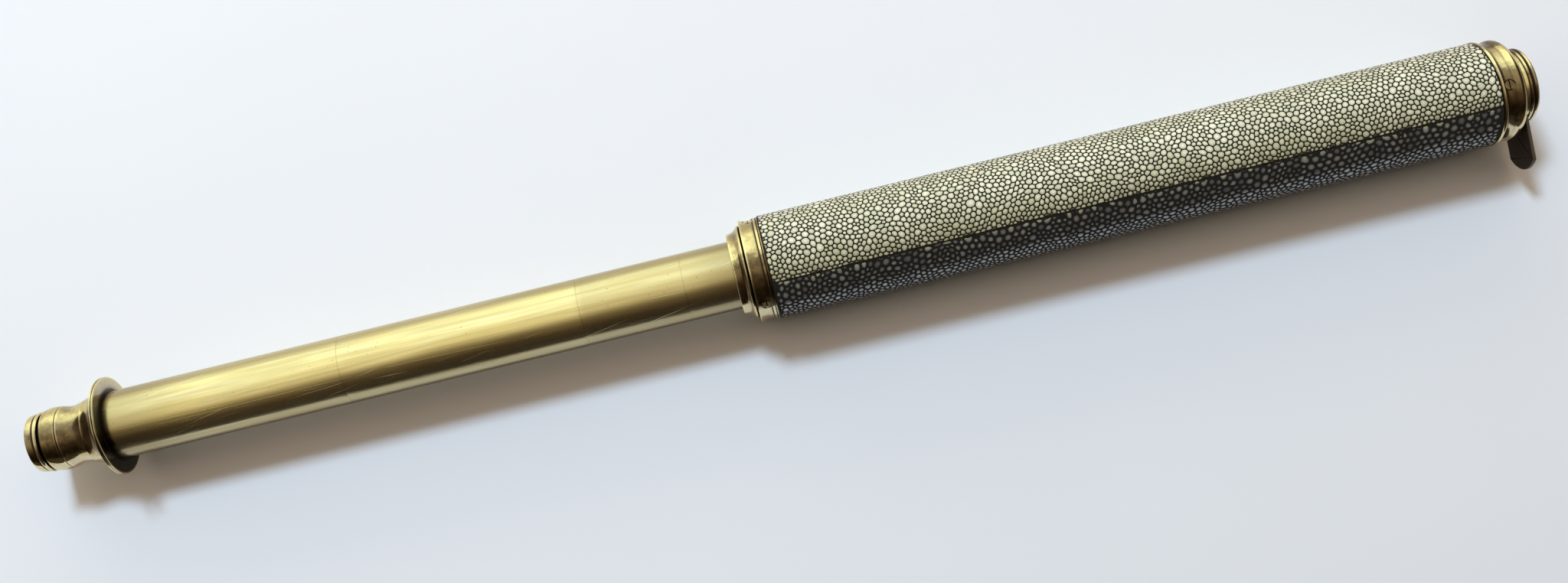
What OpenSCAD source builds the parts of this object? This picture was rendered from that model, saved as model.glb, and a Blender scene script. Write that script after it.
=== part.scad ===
// Hand telescope with one brass draw, a skin-covered barrel and a sliding dust shutter.
// X runs along the optical axis towards the objective and Z is up.
// The origin is on the axis, half way along the skin. Lengths are in millimetres.
// A clock angle is counted from the top (+Z) towards the near side (-Y).

/* [Barrel] */
// Length of the skin between the two brass mounts
skin_len = 318; // [290:1:380]
// Diameter of the barrel over the skin
barrel_d = 46; // [45:0.5:52]
// Thickness of the skin
skin_t = 0.9; // [0.6:0.1:1.4]
// Wall of the wooden tube under the skin
tube_wall = 3.2; // [2.6:0.1:3.6]
// Depth of the step that leaves a tenon at each end of the wooden tube
tenon_step = 1.5; // [1.2:0.1:2]
// Clock angle of the seam in the skin
seam_angle = 33; // [0:1:90]
// Width of the seam
seam_w = 0.3; // [0.2:0.05:0.8]

/* [Eye end mount] */
// Length of the mount outside the skin
eye_mount_len = 15; // [14:0.5:20]
// Length of the tenon inside the mount
eye_tenon_len = 7.5; // [6.5:0.1:8]
// Length of the moulding from the skin to the sharp rim
eye_rim_at = 8.5; // [7.5:0.1:9.5]
// How far the sharp rim lies below the skin
eye_rim_drop = 0.1; // [0.1:0.05:0.4]
// How far the hollow moulding lies below the skin
eye_waist_drop = 1.1; // [0.8:0.1:1.3]
// Radius of the small bead beside the rim
eye_bead_r = 0.75; // [0.5:0.05:0.85]
// Wall of the front lip round the draw tube
lip_wall = 2.85; // [2.4:0.05:3.2]
// Thickness of the lip that covers the guide sleeve's end
lip_t = 1; // [0.8:0.1:2]

/* [Objective mount] */
// Length of the mount outside the skin
obj_mount_len = 12.4; // [12:0.1:16]
// Length of the tenon inside the mount
obj_tenon_len = 8; // [6:0.5:8.5]
// Radius of the bead beside the skin
obj_bead_r = 1; // [0.7:0.05:1.2]
// Section radius of the large round moulding
torus_r = 3.4; // [3:0.1:3.8]
// How far the large round moulding lies below the skin
torus_drop = 0.7; // [0.4:0.1:1.2]
// Diameter of the threaded bore that takes the shutter housing
mount_bore_d = 32; // [31:0.5:33]

/* [Mount screws] */
// Screws in each mount
mount_screw_n = 3; // [2:1:4]
// Head diameter
screw_head_d = 4; // [3:0.1:4.4]
// Shank diameter
screw_d = 1.8; // [1.4:0.1:2]
// Height of the countersunk cone
screw_cone = 1; // [0.8:0.1:1.2]
// Distance of the eye end screws from the skin
eye_screw_at = 4.4; // [4:0.1:5]
// Clock angle of one of the eye end screws
eye_screw_angle = 60; // [0:1:119]
// Distance of the objective end screws from the skin
obj_screw_at = 4.6; // [4:0.1:5]
// Clock angle of one of the objective end screws
obj_screw_angle = 12; // [0:1:119]

/* [Draw tube] */
// Outside diameter of the draw tube
draw_d = 30; // [28:0.5:31]
// Wall of the draw tube
draw_wall = 0.6; // [0.5:0.05:0.8]
// Bare length of the draw tube as it stands in the photo
draw_out = 278; // [200:1:282]
// How much further the draw tube comes out
travel_out = 6; // [2:0.5:8]
// Length of the guide sleeve
sleeve_len = 35; // [28:1:36]
// Wall of the guide sleeve
sleeve_wall = 1.35; // [1:0.05:1.6]
// Thickness of the flange that seats the guide sleeve
sleeve_flange_t = 1.5; // [1:0.1:3]
// Width of the slits that make the sleeve springy
slit_w = 1; // [0.6:0.1:2]
// Length of those slits
slit_len = 20; // [10:1:24]
// Length of the stop ring on the inner end of the draw tube
stop_len = 8; // [6:0.5:10]
// Length of the stop ring's rim
stop_rim_len = 3; // [2:0.5:5]
// Wall of the stop ring beside its rim
stop_wall = 1.2; // [1:0.1:1.6]

/* [Eyepiece] */
// Diameter of the flange
flange_d = 43.4; // [40:0.2:45]
// Thickness of the flange
flange_t = 1.9; // [1.6:0.1:2.6]
// Diameter of the flare where it leaves the flange
flare_d = 39.4; // [37:0.2:40]
// Diameter half way down the flare
flare_mid_d = 28.8; // [28:0.1:31]
// Distance of that place from the flange's inner face
flare_mid_at = 9.6; // [8:0.1:10.4]
// Length from the flange's inner face to the joint with the head
body_len = 21.4; // [19:0.1:26]
// Diameter at the narrow waist
waist_d = 25.6; // [24.8:0.2:27]
// Distance of the waist from the flange's inner face
waist_at = 16.3; // [15.5:0.1:17]
// Diameter at the joint
joint_d = 27.4; // [26.4:0.1:28]
// Diameter of the head at its widest
head_d = 28.1; // [27:0.1:30]
// Length of the head's rounded outside
head_len = 7; // [6:0.1:10]
// Length of the open neck between head and cap
neck_gap = 1.5; // [1:0.1:2.5]
// Diameter of the neck
neck_d = 22; // [21:0.2:23]
// Length of the thread on the neck inside the cap
neck_thread = 3.6; // [3:0.1:4.2]
// Length of the eye cap
cap_len = 5.3; // [5:0.1:7]
// Diameter over the eye cap's inner bead
cap_d = 26.5; // [26:0.1:28]
// Diameter over the eye cap's outer end
cap_end_d = 25.4; // [25:0.1:26]
// Diameter of the eye hole
eye_hole_d = 7; // [5:0.5:9]
// Length of the spigot inside the draw tube
spigot_len = 8; // [6:0.5:12]
// Wall of that spigot
spigot_wall = 1.17; // [0.9:0.01:1.4]
// Bore of the waist, which takes the head's spigot
waist_bore_d = 22; // [21:0.2:22.4]
// Length of the head's spigot
head_spigot_len = 7; // [5:0.5:8]
// Wall of the head's spigot
head_spigot_wall = 1.6; // [1.2:0.1:1.8]
// Length of the tube that holds the field lens
field_tube_len = 26.4; // [20:0.2:40]
// Wall of that tube
field_tube_wall = 0.9; // [0.7:0.05:1.2]

/* [Erector] */
// Length of the erector tube
erector_len = 72; // [50:1:100]
// Wall of the erector tube
erector_wall = 0.9; // [0.7:0.05:1.2]
// Length of each lens cell
cell_len = 8; // [7:0.5:12]
// Hole in the erector's stop
erector_stop_d = 4; // [2:0.5:8]

/* [Lenses] */
// Diameter of the objective lenses
objective_d = 23; // [21:0.5:24]
// Middle thickness of the crown lens
crown_t = 4; // [3.6:0.1:4.2]
// Middle thickness of the flint lens
flint_t = 2.2; // [1.8:0.1:2.4]
// Radius of the objective's curved faces
objective_r = 120; // [90:1:200]
// Diameter of the field lens
field_d = 22; // [20:0.5:23]
// Middle thickness of the field lens
field_t = 4; // [3.6:0.1:5]
// Radius of the field lens
field_r = 32; // [28:1:50]
// Diameter of the eye lens
eye_d = 17; // [15:0.5:17.4]
// Middle thickness of the eye lens
eye_t = 3.5; // [3.2:0.1:4]
// Radius of the eye lens
eye_r = 17; // [16:0.5:30]
// Diameter of the erector lenses
erector_d = 20; // [16:0.5:21]
// Middle thickness of the erector lenses
erector_t = 3.6; // [3.2:0.1:4]
// Radius of the erector lenses
erector_r = 30; // [26:1:50]

/* [Dust shutter] */
// Clock angle that the blade slides out along
shutter_angle = 109; // [0:1:359]
// Width of the blade
blade_w = 20.3; // [19.8:0.1:21]
// Thickness of the blade
blade_t = 1.6; // [1:0.1:1.8]
// Radius of the blade's rounded tip
blade_tip_r = 13.5; // [11:0.1:20]
// Distance of the tip from the optical axis with the shutter open
blade_reach = 36.6; // [34:0.1:38]
// Width of each ear that stops the blade
ear_w = 0.75; // [0.5:0.05:0.8]
// Length of the ears
ear_len = 1.5; // [1:0.1:2]
// Diameter of the light's way through housing and ring
aperture_d = 18.4; // [16:0.1:19]
// Diameter of the housing beside the blade
housing_d = 32.2; // [32:0.1:33]
// Diameter of the housing's flange
housing_flange_d = 36.4; // [35:0.1:37]
// Thickness of the housing's flange
housing_flange_t = 1.05; // [0.9:0.05:1.6]
// Thickness of the housing's wall behind the blade
housing_wall = 1.65; // [1.5:0.05:2.4]
// Length of the front ring
ring_len = 4.05; // [3.6:0.05:6]
// Diameter of the front ring
ring_d = 33; // [32.6:0.1:34]
// Thickness of the front ring round the light's way
ring_plate_t = 1.75; // [1.5:0.05:2.2]
// Width of the front ring's raised rim
ring_rim = 1.3; // [1:0.1:1.6]

/* [Clearances] */
// Radial clearance between the draw tube and its sleeve, and on each face of the blade
running_gap = 0.05; // [0.02:0.01:0.1]
// Radial gap between pieces that are screwed, pushed or soldered together
fit_gap = 0.03; // [0.01:0.01:0.05]
// Gap round the draw tube at the mouth, and round the stop ring in the barrel
free_gap = 0.3; // [0.2:0.05:0.5]
// Gap on each side of the blade
side_gap = 0.1; // [0.05:0.05:0.2]

/* [Hidden] */
$fn = 96;
over = 1;
// Facets of the spring's bow, which is a small part of a large circle
FINE = 256;

// Radii from the skin inwards
barrel_r = barrel_d / 2;
tube_r = barrel_r - skin_t;
bore_r = tube_r - tube_wall;
tenon_r = tube_r - tenon_step;

// Radii of the draw and what guides it
draw_r = draw_d / 2;
draw_in_r = draw_r - draw_wall;
mouth_r = draw_r + free_gap;
sleeve_in_r = draw_r + running_gap;
sleeve_r = sleeve_in_r + sleeve_wall;
stop_in_r = draw_r + fit_gap;

// Stations along the axis, eye end
eye_x = -skin_len / 2;
lip_x = eye_x - eye_mount_len;
sleeve_x = lip_x + lip_t;
sleeve_seat_x = eye_x - eye_tenon_len;
sleeve_end_x = sleeve_x + sleeve_len;
stop_x = sleeve_end_x + travel_out;
draw_end_x = stop_x + stop_len;
flange_x = lip_x - draw_out;
joint_x = flange_x - body_len;
neck_x = joint_x - head_len;
cap_x = neck_x - neck_gap;
neck_end_x = cap_x - neck_thread;
cap_end_x = cap_x - cap_len;

// Stations along the axis, objective end
obj_x = skin_len / 2;
housing_x = obj_x + obj_mount_len;
channel_x = housing_x + housing_flange_t;
blade_x = channel_x + running_gap;
ring_x = blade_x + blade_t + running_gap;
ring_end_x = ring_x + ring_len;
cell_end_x = channel_x - housing_wall;

// A lens rests on a lip this long, which leaves this much of its edge covered
lens_lip = 0.8;
seat_w = 1.2;
// Length of the rings that keep the lenses against their lips
keeper_t = 2;

// Inside the eyepiece
spigot_r = draw_in_r - fit_gap;
field_tube_r = spigot_r - spigot_wall;
field_bore_r = field_tube_r - field_tube_wall;
field_shoulder = 2.5;
field_x = flange_x - flange_t - field_shoulder;
field_end_x = field_x + field_tube_len;
field_lens_x = field_end_x - lens_lip + sag(field_r, field_d / 2 - seat_w) - field_t;
waist_bore_r = waist_bore_d / 2;
stop_plate_t = 1;
stop_plate_x = joint_x + head_spigot_len;
field_stop_r = 6.5;
eye_lens_lip = 2.4;

// Erector
erector_x = draw_end_x - erector_len;
erector_out_r = draw_in_r - fit_gap;
erector_in_r = erector_out_r - erector_wall;
cell_out_r = erector_in_r - fit_gap;

// Objective cell, screwed into the housing
cell_wall = 1.44;
cell_r = objective_d / 2 + fit_gap + cell_wall;
cell_back = 8.2;
crown_x = cell_end_x - lens_lip + sag(objective_r, objective_d / 2 - seat_w) - crown_t;
glass_gap = 0.05;
flint_x = crown_x - glass_gap - flint_t;
obj_ring_t = 1.2;

// The blade's travel ends with its tip this far proud of the front ring
tip_proud = 1;
shutter_travel = blade_reach - ring_d / 2 - tip_proud;
blade_in = aperture_d / 2 + 0.3;
channel_w = blade_w / 2 + ear_w + side_gap;
spring_t = 0.25;
spring_w = 2.4;
spring_chord = 12;
spring_depth = 0.7;
spring_at = (blade_in + ear_len + housing_d / 2) / 2 - 0.85;

// Screws of the front ring
ring_screw_d = 1.4;
ring_screw_head_d = 2.4;
ring_screw_cone = 0.7;
ring_screw_len = 4.2;
ring_screw_at = (channel_w + ring_d / 2 - ring_rim) / 2;

BRASS = [0.72, 0.6, 0.3];
DARK_BRASS = [0.2, 0.16, 0.12];
SKIN = [0.6, 0.62, 0.45];
WOOD = [0.42, 0.25, 0.14];
GLASS = [0.8, 0.9, 0.92, 0.5];
STEEL = [0.55, 0.56, 0.58];

// Depth of a spherical face of radius r at a distance h from its middle
function sag(r, h) = r - sqrt(r * r - h * h);

// Points on an arc round [x, r], from one angle to another
function arc(c, r, from, to, n = 10) =
    [for (i = [0 : n]) let (a = from + (to - from) * i / n) c + r * [cos(a), sin(a)]];

// Points on a curve from p to q, pulled towards the point between them
function sweep(p, pull, q, n = 10) =
    [for (i = [0 : n]) let (t = i / n) (1 - t) * (1 - t) * p + 2 * t * (1 - t) * pull + t * t * q];

// A turned piece from its outline of [x, radius] points
module turned(outline) {
    rotate([0, 90, 0])
        rotate_extrude()
            polygon([for (p = outline) [p[1], p[0]]]);
}

// A plain ring from x0 to x1
module ring(x0, x1, r_in, r_out) {
    turned([[x0, r_in], [x1, r_in], [x1, r_out], [x0, r_out]]);
}

// How far a lens face falls back from its middle at a height h. Its radius is above 0 where it
// bulges, below 0 where it is hollow, and 0 where it is flat.
function fall(r, h) = r > 0 ? sag(r, h) : r < 0 ? -sag(-r, h) : 0;

// Heights of the points that a lens face is turned through
function heights(r, d, n = 12) = r == 0 ? [0, d / 2] : [for (i = [0 : n]) d / 2 * i / n];

// A lens that reaches from x to x + t at its middle
module lens(x, t, d, r_left, r_right) {
    right = heights(r_right, d);
    last = len(right) - 1;
    turned(concat(
        [for (h = heights(r_left, d)) [x + fall(r_left, h), h]],
        [for (i = [last : -1 : 0]) [x + t - fall(r_right, right[i]), right[i]]]
    ));
}

// Places its children at a clock angle, pointing outwards along +Z
module clock(angle) {
    rotate([angle, 0, 0]) children();
}

// A countersunk screw along Z with its head's top at z = 0. grow widens it for its hole.
module screw(head_d, cone, d, len, slot, grow = 0) {
    difference() {
        union() {
            translate([0, 0, -len]) cylinder(h = len, d = d + 2 * grow);
            translate([0, 0, -cone])
                cylinder(h = cone, d1 = d + 2 * grow, d2 = head_d + 2 * grow);
            if (grow > 0) cylinder(h = over, d = head_d + 2 * grow);
        }
        if (slot > 0)
            translate([-slot / 2, -head_d, -slot])
                cube([slot, 2 * head_d, 2 * slot]);
    }
}

// The screws that hold a mount on the wooden tube
module mount_screws(x, r_top, first, grow = 0) {
    for (i = [0 : mount_screw_n - 1])
        clock(first + i * 360 / mount_screw_n)
            translate([x, 0, r_top])
                screw(screw_head_d, screw_cone, screw_d, r_top - bore_r - 0.2,
                    grow > 0 ? 0 : 0.5, grow);
}

module eye_screws(grow = 0) {
    mount_screws(eye_x - eye_screw_at, barrel_r - eye_waist_drop, eye_screw_angle, grow);
}

module obj_screws(grow = 0) {
    mount_screws(obj_x + obj_screw_at, barrel_r - torus_drop - 0.9, obj_screw_angle, grow);
}

// Turned wooden tube with a tenon at each end
module barrel_tube() {
    color(WOOD)
        difference() {
            turned([
                [eye_x - eye_tenon_len, bore_r], [obj_x + obj_tenon_len, bore_r],
                [obj_x + obj_tenon_len, tenon_r], [obj_x, tenon_r], [obj_x, tube_r],
                [eye_x, tube_r], [eye_x, tenon_r], [eye_x - eye_tenon_len, tenon_r],
            ]);
            eye_screws(fit_gap);
            obj_screws(fit_gap);
        }
}

// Ray skin wrapped round the tube, with one lengthwise seam
module shagreen_skin() {
    color(SKIN)
        difference() {
            ring(eye_x, obj_x, tube_r, barrel_r);
            clock(seam_angle)
                translate([eye_x - over, -seam_w / 2, tube_r - over])
                    cube([skin_len + 2 * over, seam_w, skin_t + 2 * over]);
        }
}

// Moulded brass mount that the draw tube comes out of
module eye_mount() {
    fillet_r = barrel_r - 0.5;
    line_r = barrel_r - 0.8;
    rim_r = barrel_r - eye_rim_drop;
    waist_pull = 2 * (barrel_r - eye_waist_drop) - (line_r + rim_r) / 2;
    rim_x = eye_x - eye_rim_at;
    bead_x = rim_x - 0.4 - eye_bead_r;
    bead_c = barrel_r - 3;
    lip_r = mouth_r + lip_wall;
    seat_r = sleeve_r + fit_gap;
    socket_r = tenon_r + fit_gap;
    color(BRASS)
        difference() {
            turned(concat(
                [[eye_x, socket_r], [eye_x, fillet_r], [eye_x - 0.8, fillet_r],
                [eye_x - 1, line_r], [eye_x - 1.2, fillet_r], [eye_x - 2.2, fillet_r]],
                sweep([eye_x - 2.5, line_r], [eye_x - 5, waist_pull], [rim_x + 0.3, rim_r]),
                [[rim_x, rim_r], [rim_x - 0.15, bead_c]],
                arc([bead_x, bead_c], eye_bead_r, 20, 180),
                sweep([bead_x - eye_bead_r - 0.2, bead_c - 0.1],
                    [bead_x - eye_bead_r - 1.2, lip_r + 0.2], [lip_x + 0.6, lip_r]),
                [[lip_x + 0.2, lip_r], [lip_x, lip_r - 0.2], [lip_x, mouth_r],
                [sleeve_x, mouth_r], [sleeve_x, seat_r], [sleeve_seat_x, seat_r],
                [sleeve_seat_x, socket_r]]
            ));
            eye_screws(fit_gap);
        }
}

module eye_mount_screws() {
    color(BRASS) eye_screws();
}

// Springy brass sleeve that the draw tube slides in
module draw_sleeve() {
    color(BRASS)
        difference() {
            turned([
                [sleeve_x, sleeve_in_r], [sleeve_end_x, sleeve_in_r], [sleeve_end_x, sleeve_r],
                [sleeve_seat_x + sleeve_flange_t, sleeve_r],
                [sleeve_seat_x + sleeve_flange_t, bore_r - fit_gap],
                [sleeve_seat_x, bore_r - fit_gap], [sleeve_seat_x, sleeve_r],
                [sleeve_x, sleeve_r],
            ]);
            for (i = [0 : 3])
                clock(45 + 90 * i)
                    translate([sleeve_end_x - slit_len, -slit_w / 2, 0])
                        cube([slit_len + over, slit_w, sleeve_r + over]);
        }
}

// Moulded brass mount at the objective end
module objective_mount() {
    bead_c = [obj_x + 0.2 + obj_bead_r, barrel_r + 0.1 - obj_bead_r];
    torus_c = [obj_x + obj_mount_len - 4, barrel_r - torus_drop - torus_r];
    left = torus_c + torus_r * [cos(125), sin(125)];
    cove_x = bead_c[0] + obj_bead_r + 0.2;
    socket_r = tenon_r + fit_gap;
    shoulder_x = obj_x + obj_tenon_len;
    bore_r2 = mount_bore_d / 2;
    color(BRASS)
        difference() {
            turned(concat(
                [[obj_x, socket_r], [obj_x, bead_c[1]]],
                arc(bead_c, obj_bead_r, 180, 0),
                sweep([cove_x, left[1] + 0.1], [(cove_x + left[0]) / 2, left[1] - 0.5], left),
                arc(torus_c, torus_r, 120, 18),
                [[housing_x - 0.3, housing_flange_d / 2 + 0.5],
                [housing_x, housing_flange_d / 2], [housing_x, bore_r2],
                [shoulder_x, bore_r2], [shoulder_x, socket_r]]
            ));
            obj_screws(fit_gap);
        }
}

module objective_mount_screws() {
    color(BRASS) obj_screws();
}

// The channel that the blade slides in, and its mouth on the blade's side
module blade_channel() {
    depth = blade_t + 2 * running_gap;
    stop_at = blade_in + ear_len;
    clock(shutter_angle) {
        translate([channel_x, -channel_w, blade_in - shutter_travel - 0.2])
            cube([depth + over, 2 * channel_w, stop_at + 0.02 - blade_in + shutter_travel + 0.2]);
        translate([channel_x, -blade_w / 2 - side_gap, 0])
            cube([depth + over, blade_w + 2 * side_gap, housing_d]);
        translate([channel_x - spring_depth, -spring_chord / 2 - side_gap,
            spring_at - spring_w / 2 - side_gap])
            cube([spring_depth + over, spring_chord + 2 * side_gap, spring_w + 2 * side_gap]);
    }
}

module ring_screws(grow = 0) {
    clock(shutter_angle)
        for (side = [-1, 1])
            translate([ring_x + ring_plate_t, side * ring_screw_at, 0])
                rotate([0, 90, 0])
                    screw(ring_screw_head_d, ring_screw_cone, ring_screw_d, ring_screw_len,
                        grow > 0 ? 0 : 0.35, grow);
}

// Housing screwed into the objective mount, with the blade's channel across its front
module shutter_housing() {
    flange_r = housing_flange_d / 2;
    neck_r = housing_d / 2;
    spigot_out_r = mount_bore_d / 2 - fit_gap;
    cell_bore_r = cell_r + fit_gap;
    back_x = obj_x + obj_tenon_len - 2;
    color(BRASS)
        difference() {
            turned([
                [back_x, cell_bore_r], [cell_end_x, cell_bore_r],
                [cell_end_x, aperture_d / 2], [ring_x, aperture_d / 2], [ring_x, neck_r],
                [channel_x + 0.1, neck_r], [channel_x + 0.05, neck_r + 0.7],
                [channel_x - 0.25, neck_r + 0.8], [channel_x - 0.4, neck_r + 1.2],
                [housing_x + 0.3, flange_r - 0.3], [housing_x, flange_r],
                [housing_x, spigot_out_r], [back_x, spigot_out_r],
            ]);
            blade_channel();
            ring_screws(fit_gap);
        }
}

// Cell that holds the two objective lenses
module objective_cell() {
    lens_bore_r = objective_d / 2 + fit_gap;
    color(BRASS)
        turned([
            [cell_end_x - cell_back, lens_bore_r], [cell_end_x - lens_lip, lens_bore_r],
            [cell_end_x - lens_lip, objective_d / 2 - seat_w],
            [cell_end_x, objective_d / 2 - seat_w],
            [cell_end_x, cell_r], [cell_end_x - cell_back, cell_r],
        ]);
}

module crown_lens() {
    color(GLASS) lens(crown_x, crown_t, objective_d, objective_r, objective_r);
}

module flint_lens() {
    color(GLASS) lens(flint_x, flint_t, objective_d, 0, -objective_r);
}

// Threaded ring that keeps the objective lenses in their cell
module objective_ring() {
    color(BRASS)
        ring(flint_x - obj_ring_t, flint_x, objective_d / 2 - seat_w, objective_d / 2);
}

// Bowed leaf spring that rubs on the blade
module shutter_spring() {
    rise = spring_depth + running_gap - spring_t - 0.03;
    chord = spring_chord / 2;
    bow_r = (chord * chord + rise * rise) / (2 * rise);
    color(STEEL)
        clock(shutter_angle)
            translate([channel_x - spring_depth + rise - bow_r, 0, spring_at - spring_w / 2])
                linear_extrude(height = spring_w)
                    intersection() {
                        difference() {
                            circle(r = bow_r + spring_t, $fn = FINE);
                            circle(r = bow_r, $fn = FINE);
                        }
                        translate([bow_r - rise, -chord])
                            square([2 * rise + spring_t, 2 * chord]);
                    }
}

// Flat shutter blade with a rounded tip, drawn open as in the photo
module shutter_blade() {
    color(DARK_BRASS)
        clock(shutter_angle)
            translate([blade_x, 0, 0])
                rotate([90, 0, 90])
                    linear_extrude(height = blade_t)
                        union() {
                            intersection() {
                                translate([-blade_w / 2, blade_in])
                                    square([blade_w, blade_reach - blade_in]);
                                union() {
                                    translate([0, blade_reach - blade_tip_r])
                                        circle(r = blade_tip_r);
                                    translate([-blade_w / 2, blade_in])
                                        square([blade_w, blade_reach - blade_tip_r - blade_in]);
                                }
                            }
                            translate([-blade_w / 2 - ear_w, blade_in])
                                square([blade_w + 2 * ear_w, ear_len]);
                        }
}

// Beaded ring that closes the channel
module front_ring() {
    r = ring_d / 2;
    bead_r = ring_len / 4;
    plate_x = ring_x + ring_plate_t;
    rim_in_r = r - ring_rim;
    color(BRASS)
        difference() {
            turned(concat(
                [[ring_x, aperture_d / 2], [plate_x, aperture_d / 2 + 0.6], [plate_x, rim_in_r],
                [ring_end_x, rim_in_r + 0.2], [ring_end_x, r - 0.5]],
                arc([ring_end_x - bead_r, r - 0.1 - bead_r], bead_r, 40, 140),
                arc([ring_x + bead_r + 0.1, r - bead_r], bead_r, 40, 140),
                [[ring_x, r - 0.5]]
            ));
            ring_screws(fit_gap);
        }
}

module front_ring_screws() {
    color(BRASS) ring_screws();
}

module draw_tube() {
    color(BRASS) ring(flange_x, draw_end_x, draw_in_r, draw_r);
}

// Ring on the inner end of the draw tube, which stops it against the sleeve
module draw_stop_ring() {
    rim_x = draw_end_x - stop_rim_len;
    color(BRASS)
        turned([
            [stop_x, stop_in_r], [draw_end_x, stop_in_r], [draw_end_x, bore_r - free_gap],
            [rim_x, bore_r - free_gap], [rim_x, stop_in_r + stop_wall],
            [stop_x, stop_in_r + stop_wall],
        ]);
}

// Flanged and waisted eyepiece body, screwed into the draw tube
module eyepiece_body() {
    flange_r = flange_d / 2;
    waist_r = waist_d / 2;
    ridge = flange_t * 0.42;
    flare_x = flange_x - flange_t;
    waist_x = flange_x - waist_at;
    flare_mid_x = flange_x - flare_mid_at;
    flare_mid_r = flare_mid_d / 2;
    shoulder_r = field_tube_r + fit_gap;
    narrow_r = waist_bore_r - 0.6;
    color(BRASS)
        turned(concat(
            [[flange_x, spigot_r], [flange_x, draw_r + 0.7], [flange_x - 0.1, flange_r - 0.4],
            [flange_x - 0.3, flange_r], [flange_x - ridge, flange_r],
            [flange_x - flange_t / 2, flange_r - 0.35], [flare_x + ridge, flange_r],
            [flare_x + 0.2, flange_r], [flare_x, flange_r - 0.4]],
            sweep([flare_x - 0.2, flare_d / 2], [flare_x - 1.7, flare_mid_r + 1.8],
                [flare_mid_x, flare_mid_r]),
            sweep([flare_mid_x - 0.1, flare_mid_r], [flare_mid_x - 4.7, waist_r],
                [waist_x, waist_r], 6),
            sweep([waist_x - 0.4, waist_r], [waist_x - 2, waist_r],
                [joint_x + 0.3, joint_d / 2], 6),
            [[joint_x, joint_d / 2 - 0.2], [joint_x, waist_bore_r + fit_gap],
            [stop_plate_x + stop_plate_t, waist_bore_r + fit_gap],
            [stop_plate_x + stop_plate_t, narrow_r], [field_x, narrow_r],
            [field_x, shoulder_r], [flange_x + spigot_len, shoulder_r],
            [flange_x + spigot_len, spigot_r]]
        ));
}

// Rounded head with the eye lens, screwed into the body
module eyepiece_head() {
    r = head_d / 2;
    spigot_in_r = waist_bore_r - head_spigot_wall;
    lens_bore_r = eye_d / 2 + fit_gap;
    color(BRASS)
        turned(concat(
            [[stop_plate_x, spigot_in_r], [stop_plate_x, waist_bore_r], [joint_x, waist_bore_r],
            [joint_x, joint_d / 2 - 0.2], [joint_x - 0.3, joint_d / 2]],
            sweep([joint_x - 0.6, joint_d / 2], [joint_x - head_len / 2, 2 * r - joint_d / 2],
                [neck_x + 0.2, r - 0.5]),
            [[neck_x, r - 0.8], [neck_x, neck_d / 2], [neck_end_x, neck_d / 2],
            [neck_end_x, eye_d / 2 - seat_w], [neck_end_x + eye_lens_lip, eye_d / 2 - seat_w],
            [neck_end_x + eye_lens_lip, lens_bore_r], [joint_x - 1, lens_bore_r],
            [joint_x - 1, spigot_in_r]]
        ));
}

module eye_lens() {
    color(GLASS) lens(neck_end_x + eye_lens_lip, eye_t, eye_d, 0, eye_r);
}

// Threaded ring behind the eye lens
module eye_lens_ring() {
    bulge = eye_t - sag(eye_r, eye_d / 2 - seat_w);
    x = neck_end_x + eye_lens_lip + bulge;
    color(BRASS) ring(x, x + keeper_t, eye_d / 2 - seat_w, eye_d / 2);
}

// Beaded cap with the eye hole
module eye_cap() {
    r = cap_d / 2;
    end_r = cap_end_d / 2;
    bead = 0.9;
    color(BRASS)
        turned(concat(
            [[cap_x, neck_d / 2 + fit_gap], [cap_x, r - 0.5]],
            arc([cap_x - bead, r - bead], bead, 60, 150),
            [[cap_x - 2 * bead, end_r - 0.2], [cap_x - 2 * bead - 0.4, end_r + 0.05]],
            sweep([cap_x - 2 * bead - 0.8, end_r + 0.15], [cap_end_x + 1, end_r + 0.2],
                [cap_end_x + 0.3, end_r - 0.1], 5),
            [[cap_end_x, end_r - 0.5], [cap_end_x, end_r - 2.5],
            [cap_end_x + 1, eye_hole_d / 2], [neck_end_x, eye_hole_d / 2],
            [neck_end_x, neck_d / 2 + fit_gap]]
        ));
}

// Blackened plate with the hole that bounds the view
module field_stop() {
    color(DARK_BRASS)
        ring(stop_plate_x, stop_plate_x + stop_plate_t, field_stop_r, waist_bore_r);
}

// Tube inside the draw tube that holds the field lens
module field_tube() {
    color(BRASS)
        turned([
            [field_x, field_bore_r], [field_end_x - lens_lip, field_bore_r],
            [field_end_x - lens_lip, field_d / 2 - seat_w], [field_end_x, field_d / 2 - seat_w],
            [field_end_x, field_tube_r], [field_x, field_tube_r],
        ]);
}

module field_lens() {
    color(GLASS) lens(field_lens_x, field_t, field_d, 0, field_r);
}

// Ring that keeps the field lens against its lip
module field_lens_ring() {
    color(BRASS)
        ring(field_lens_x - keeper_t, field_lens_x, field_d / 2 - seat_w,
            field_bore_r - fit_gap);
}

// Tube pushed into the inner end of the draw tube
module erector_tube() {
    color(BRASS) ring(erector_x, draw_end_x, erector_in_r, erector_out_r);
}

// Lens cell with its lip at x and its open end at x + dir * cell_len
module erector_cell(x, dir) {
    r = erector_d / 2;
    color(BRASS)
        turned([
            [x, r - seat_w], [x, cell_out_r], [x + dir * cell_len, cell_out_r],
            [x + dir * cell_len, r + fit_gap], [x + dir * lens_lip, r + fit_gap],
            [x + dir * lens_lip, r - seat_w],
        ]);
}

// The ring that keeps an erector lens in its cell
module erector_keeper(x, dir) {
    bulge = erector_t - sag(erector_r, erector_d / 2 - seat_w);
    from = x + dir * (lens_lip + bulge);
    to = from + dir * keeper_t;
    color(BRASS) ring(min(from, to), max(from, to), erector_d / 2 - seat_w, erector_d / 2);
}

module erector_front_cell() {
    erector_cell(draw_end_x, -1);
}

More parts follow.
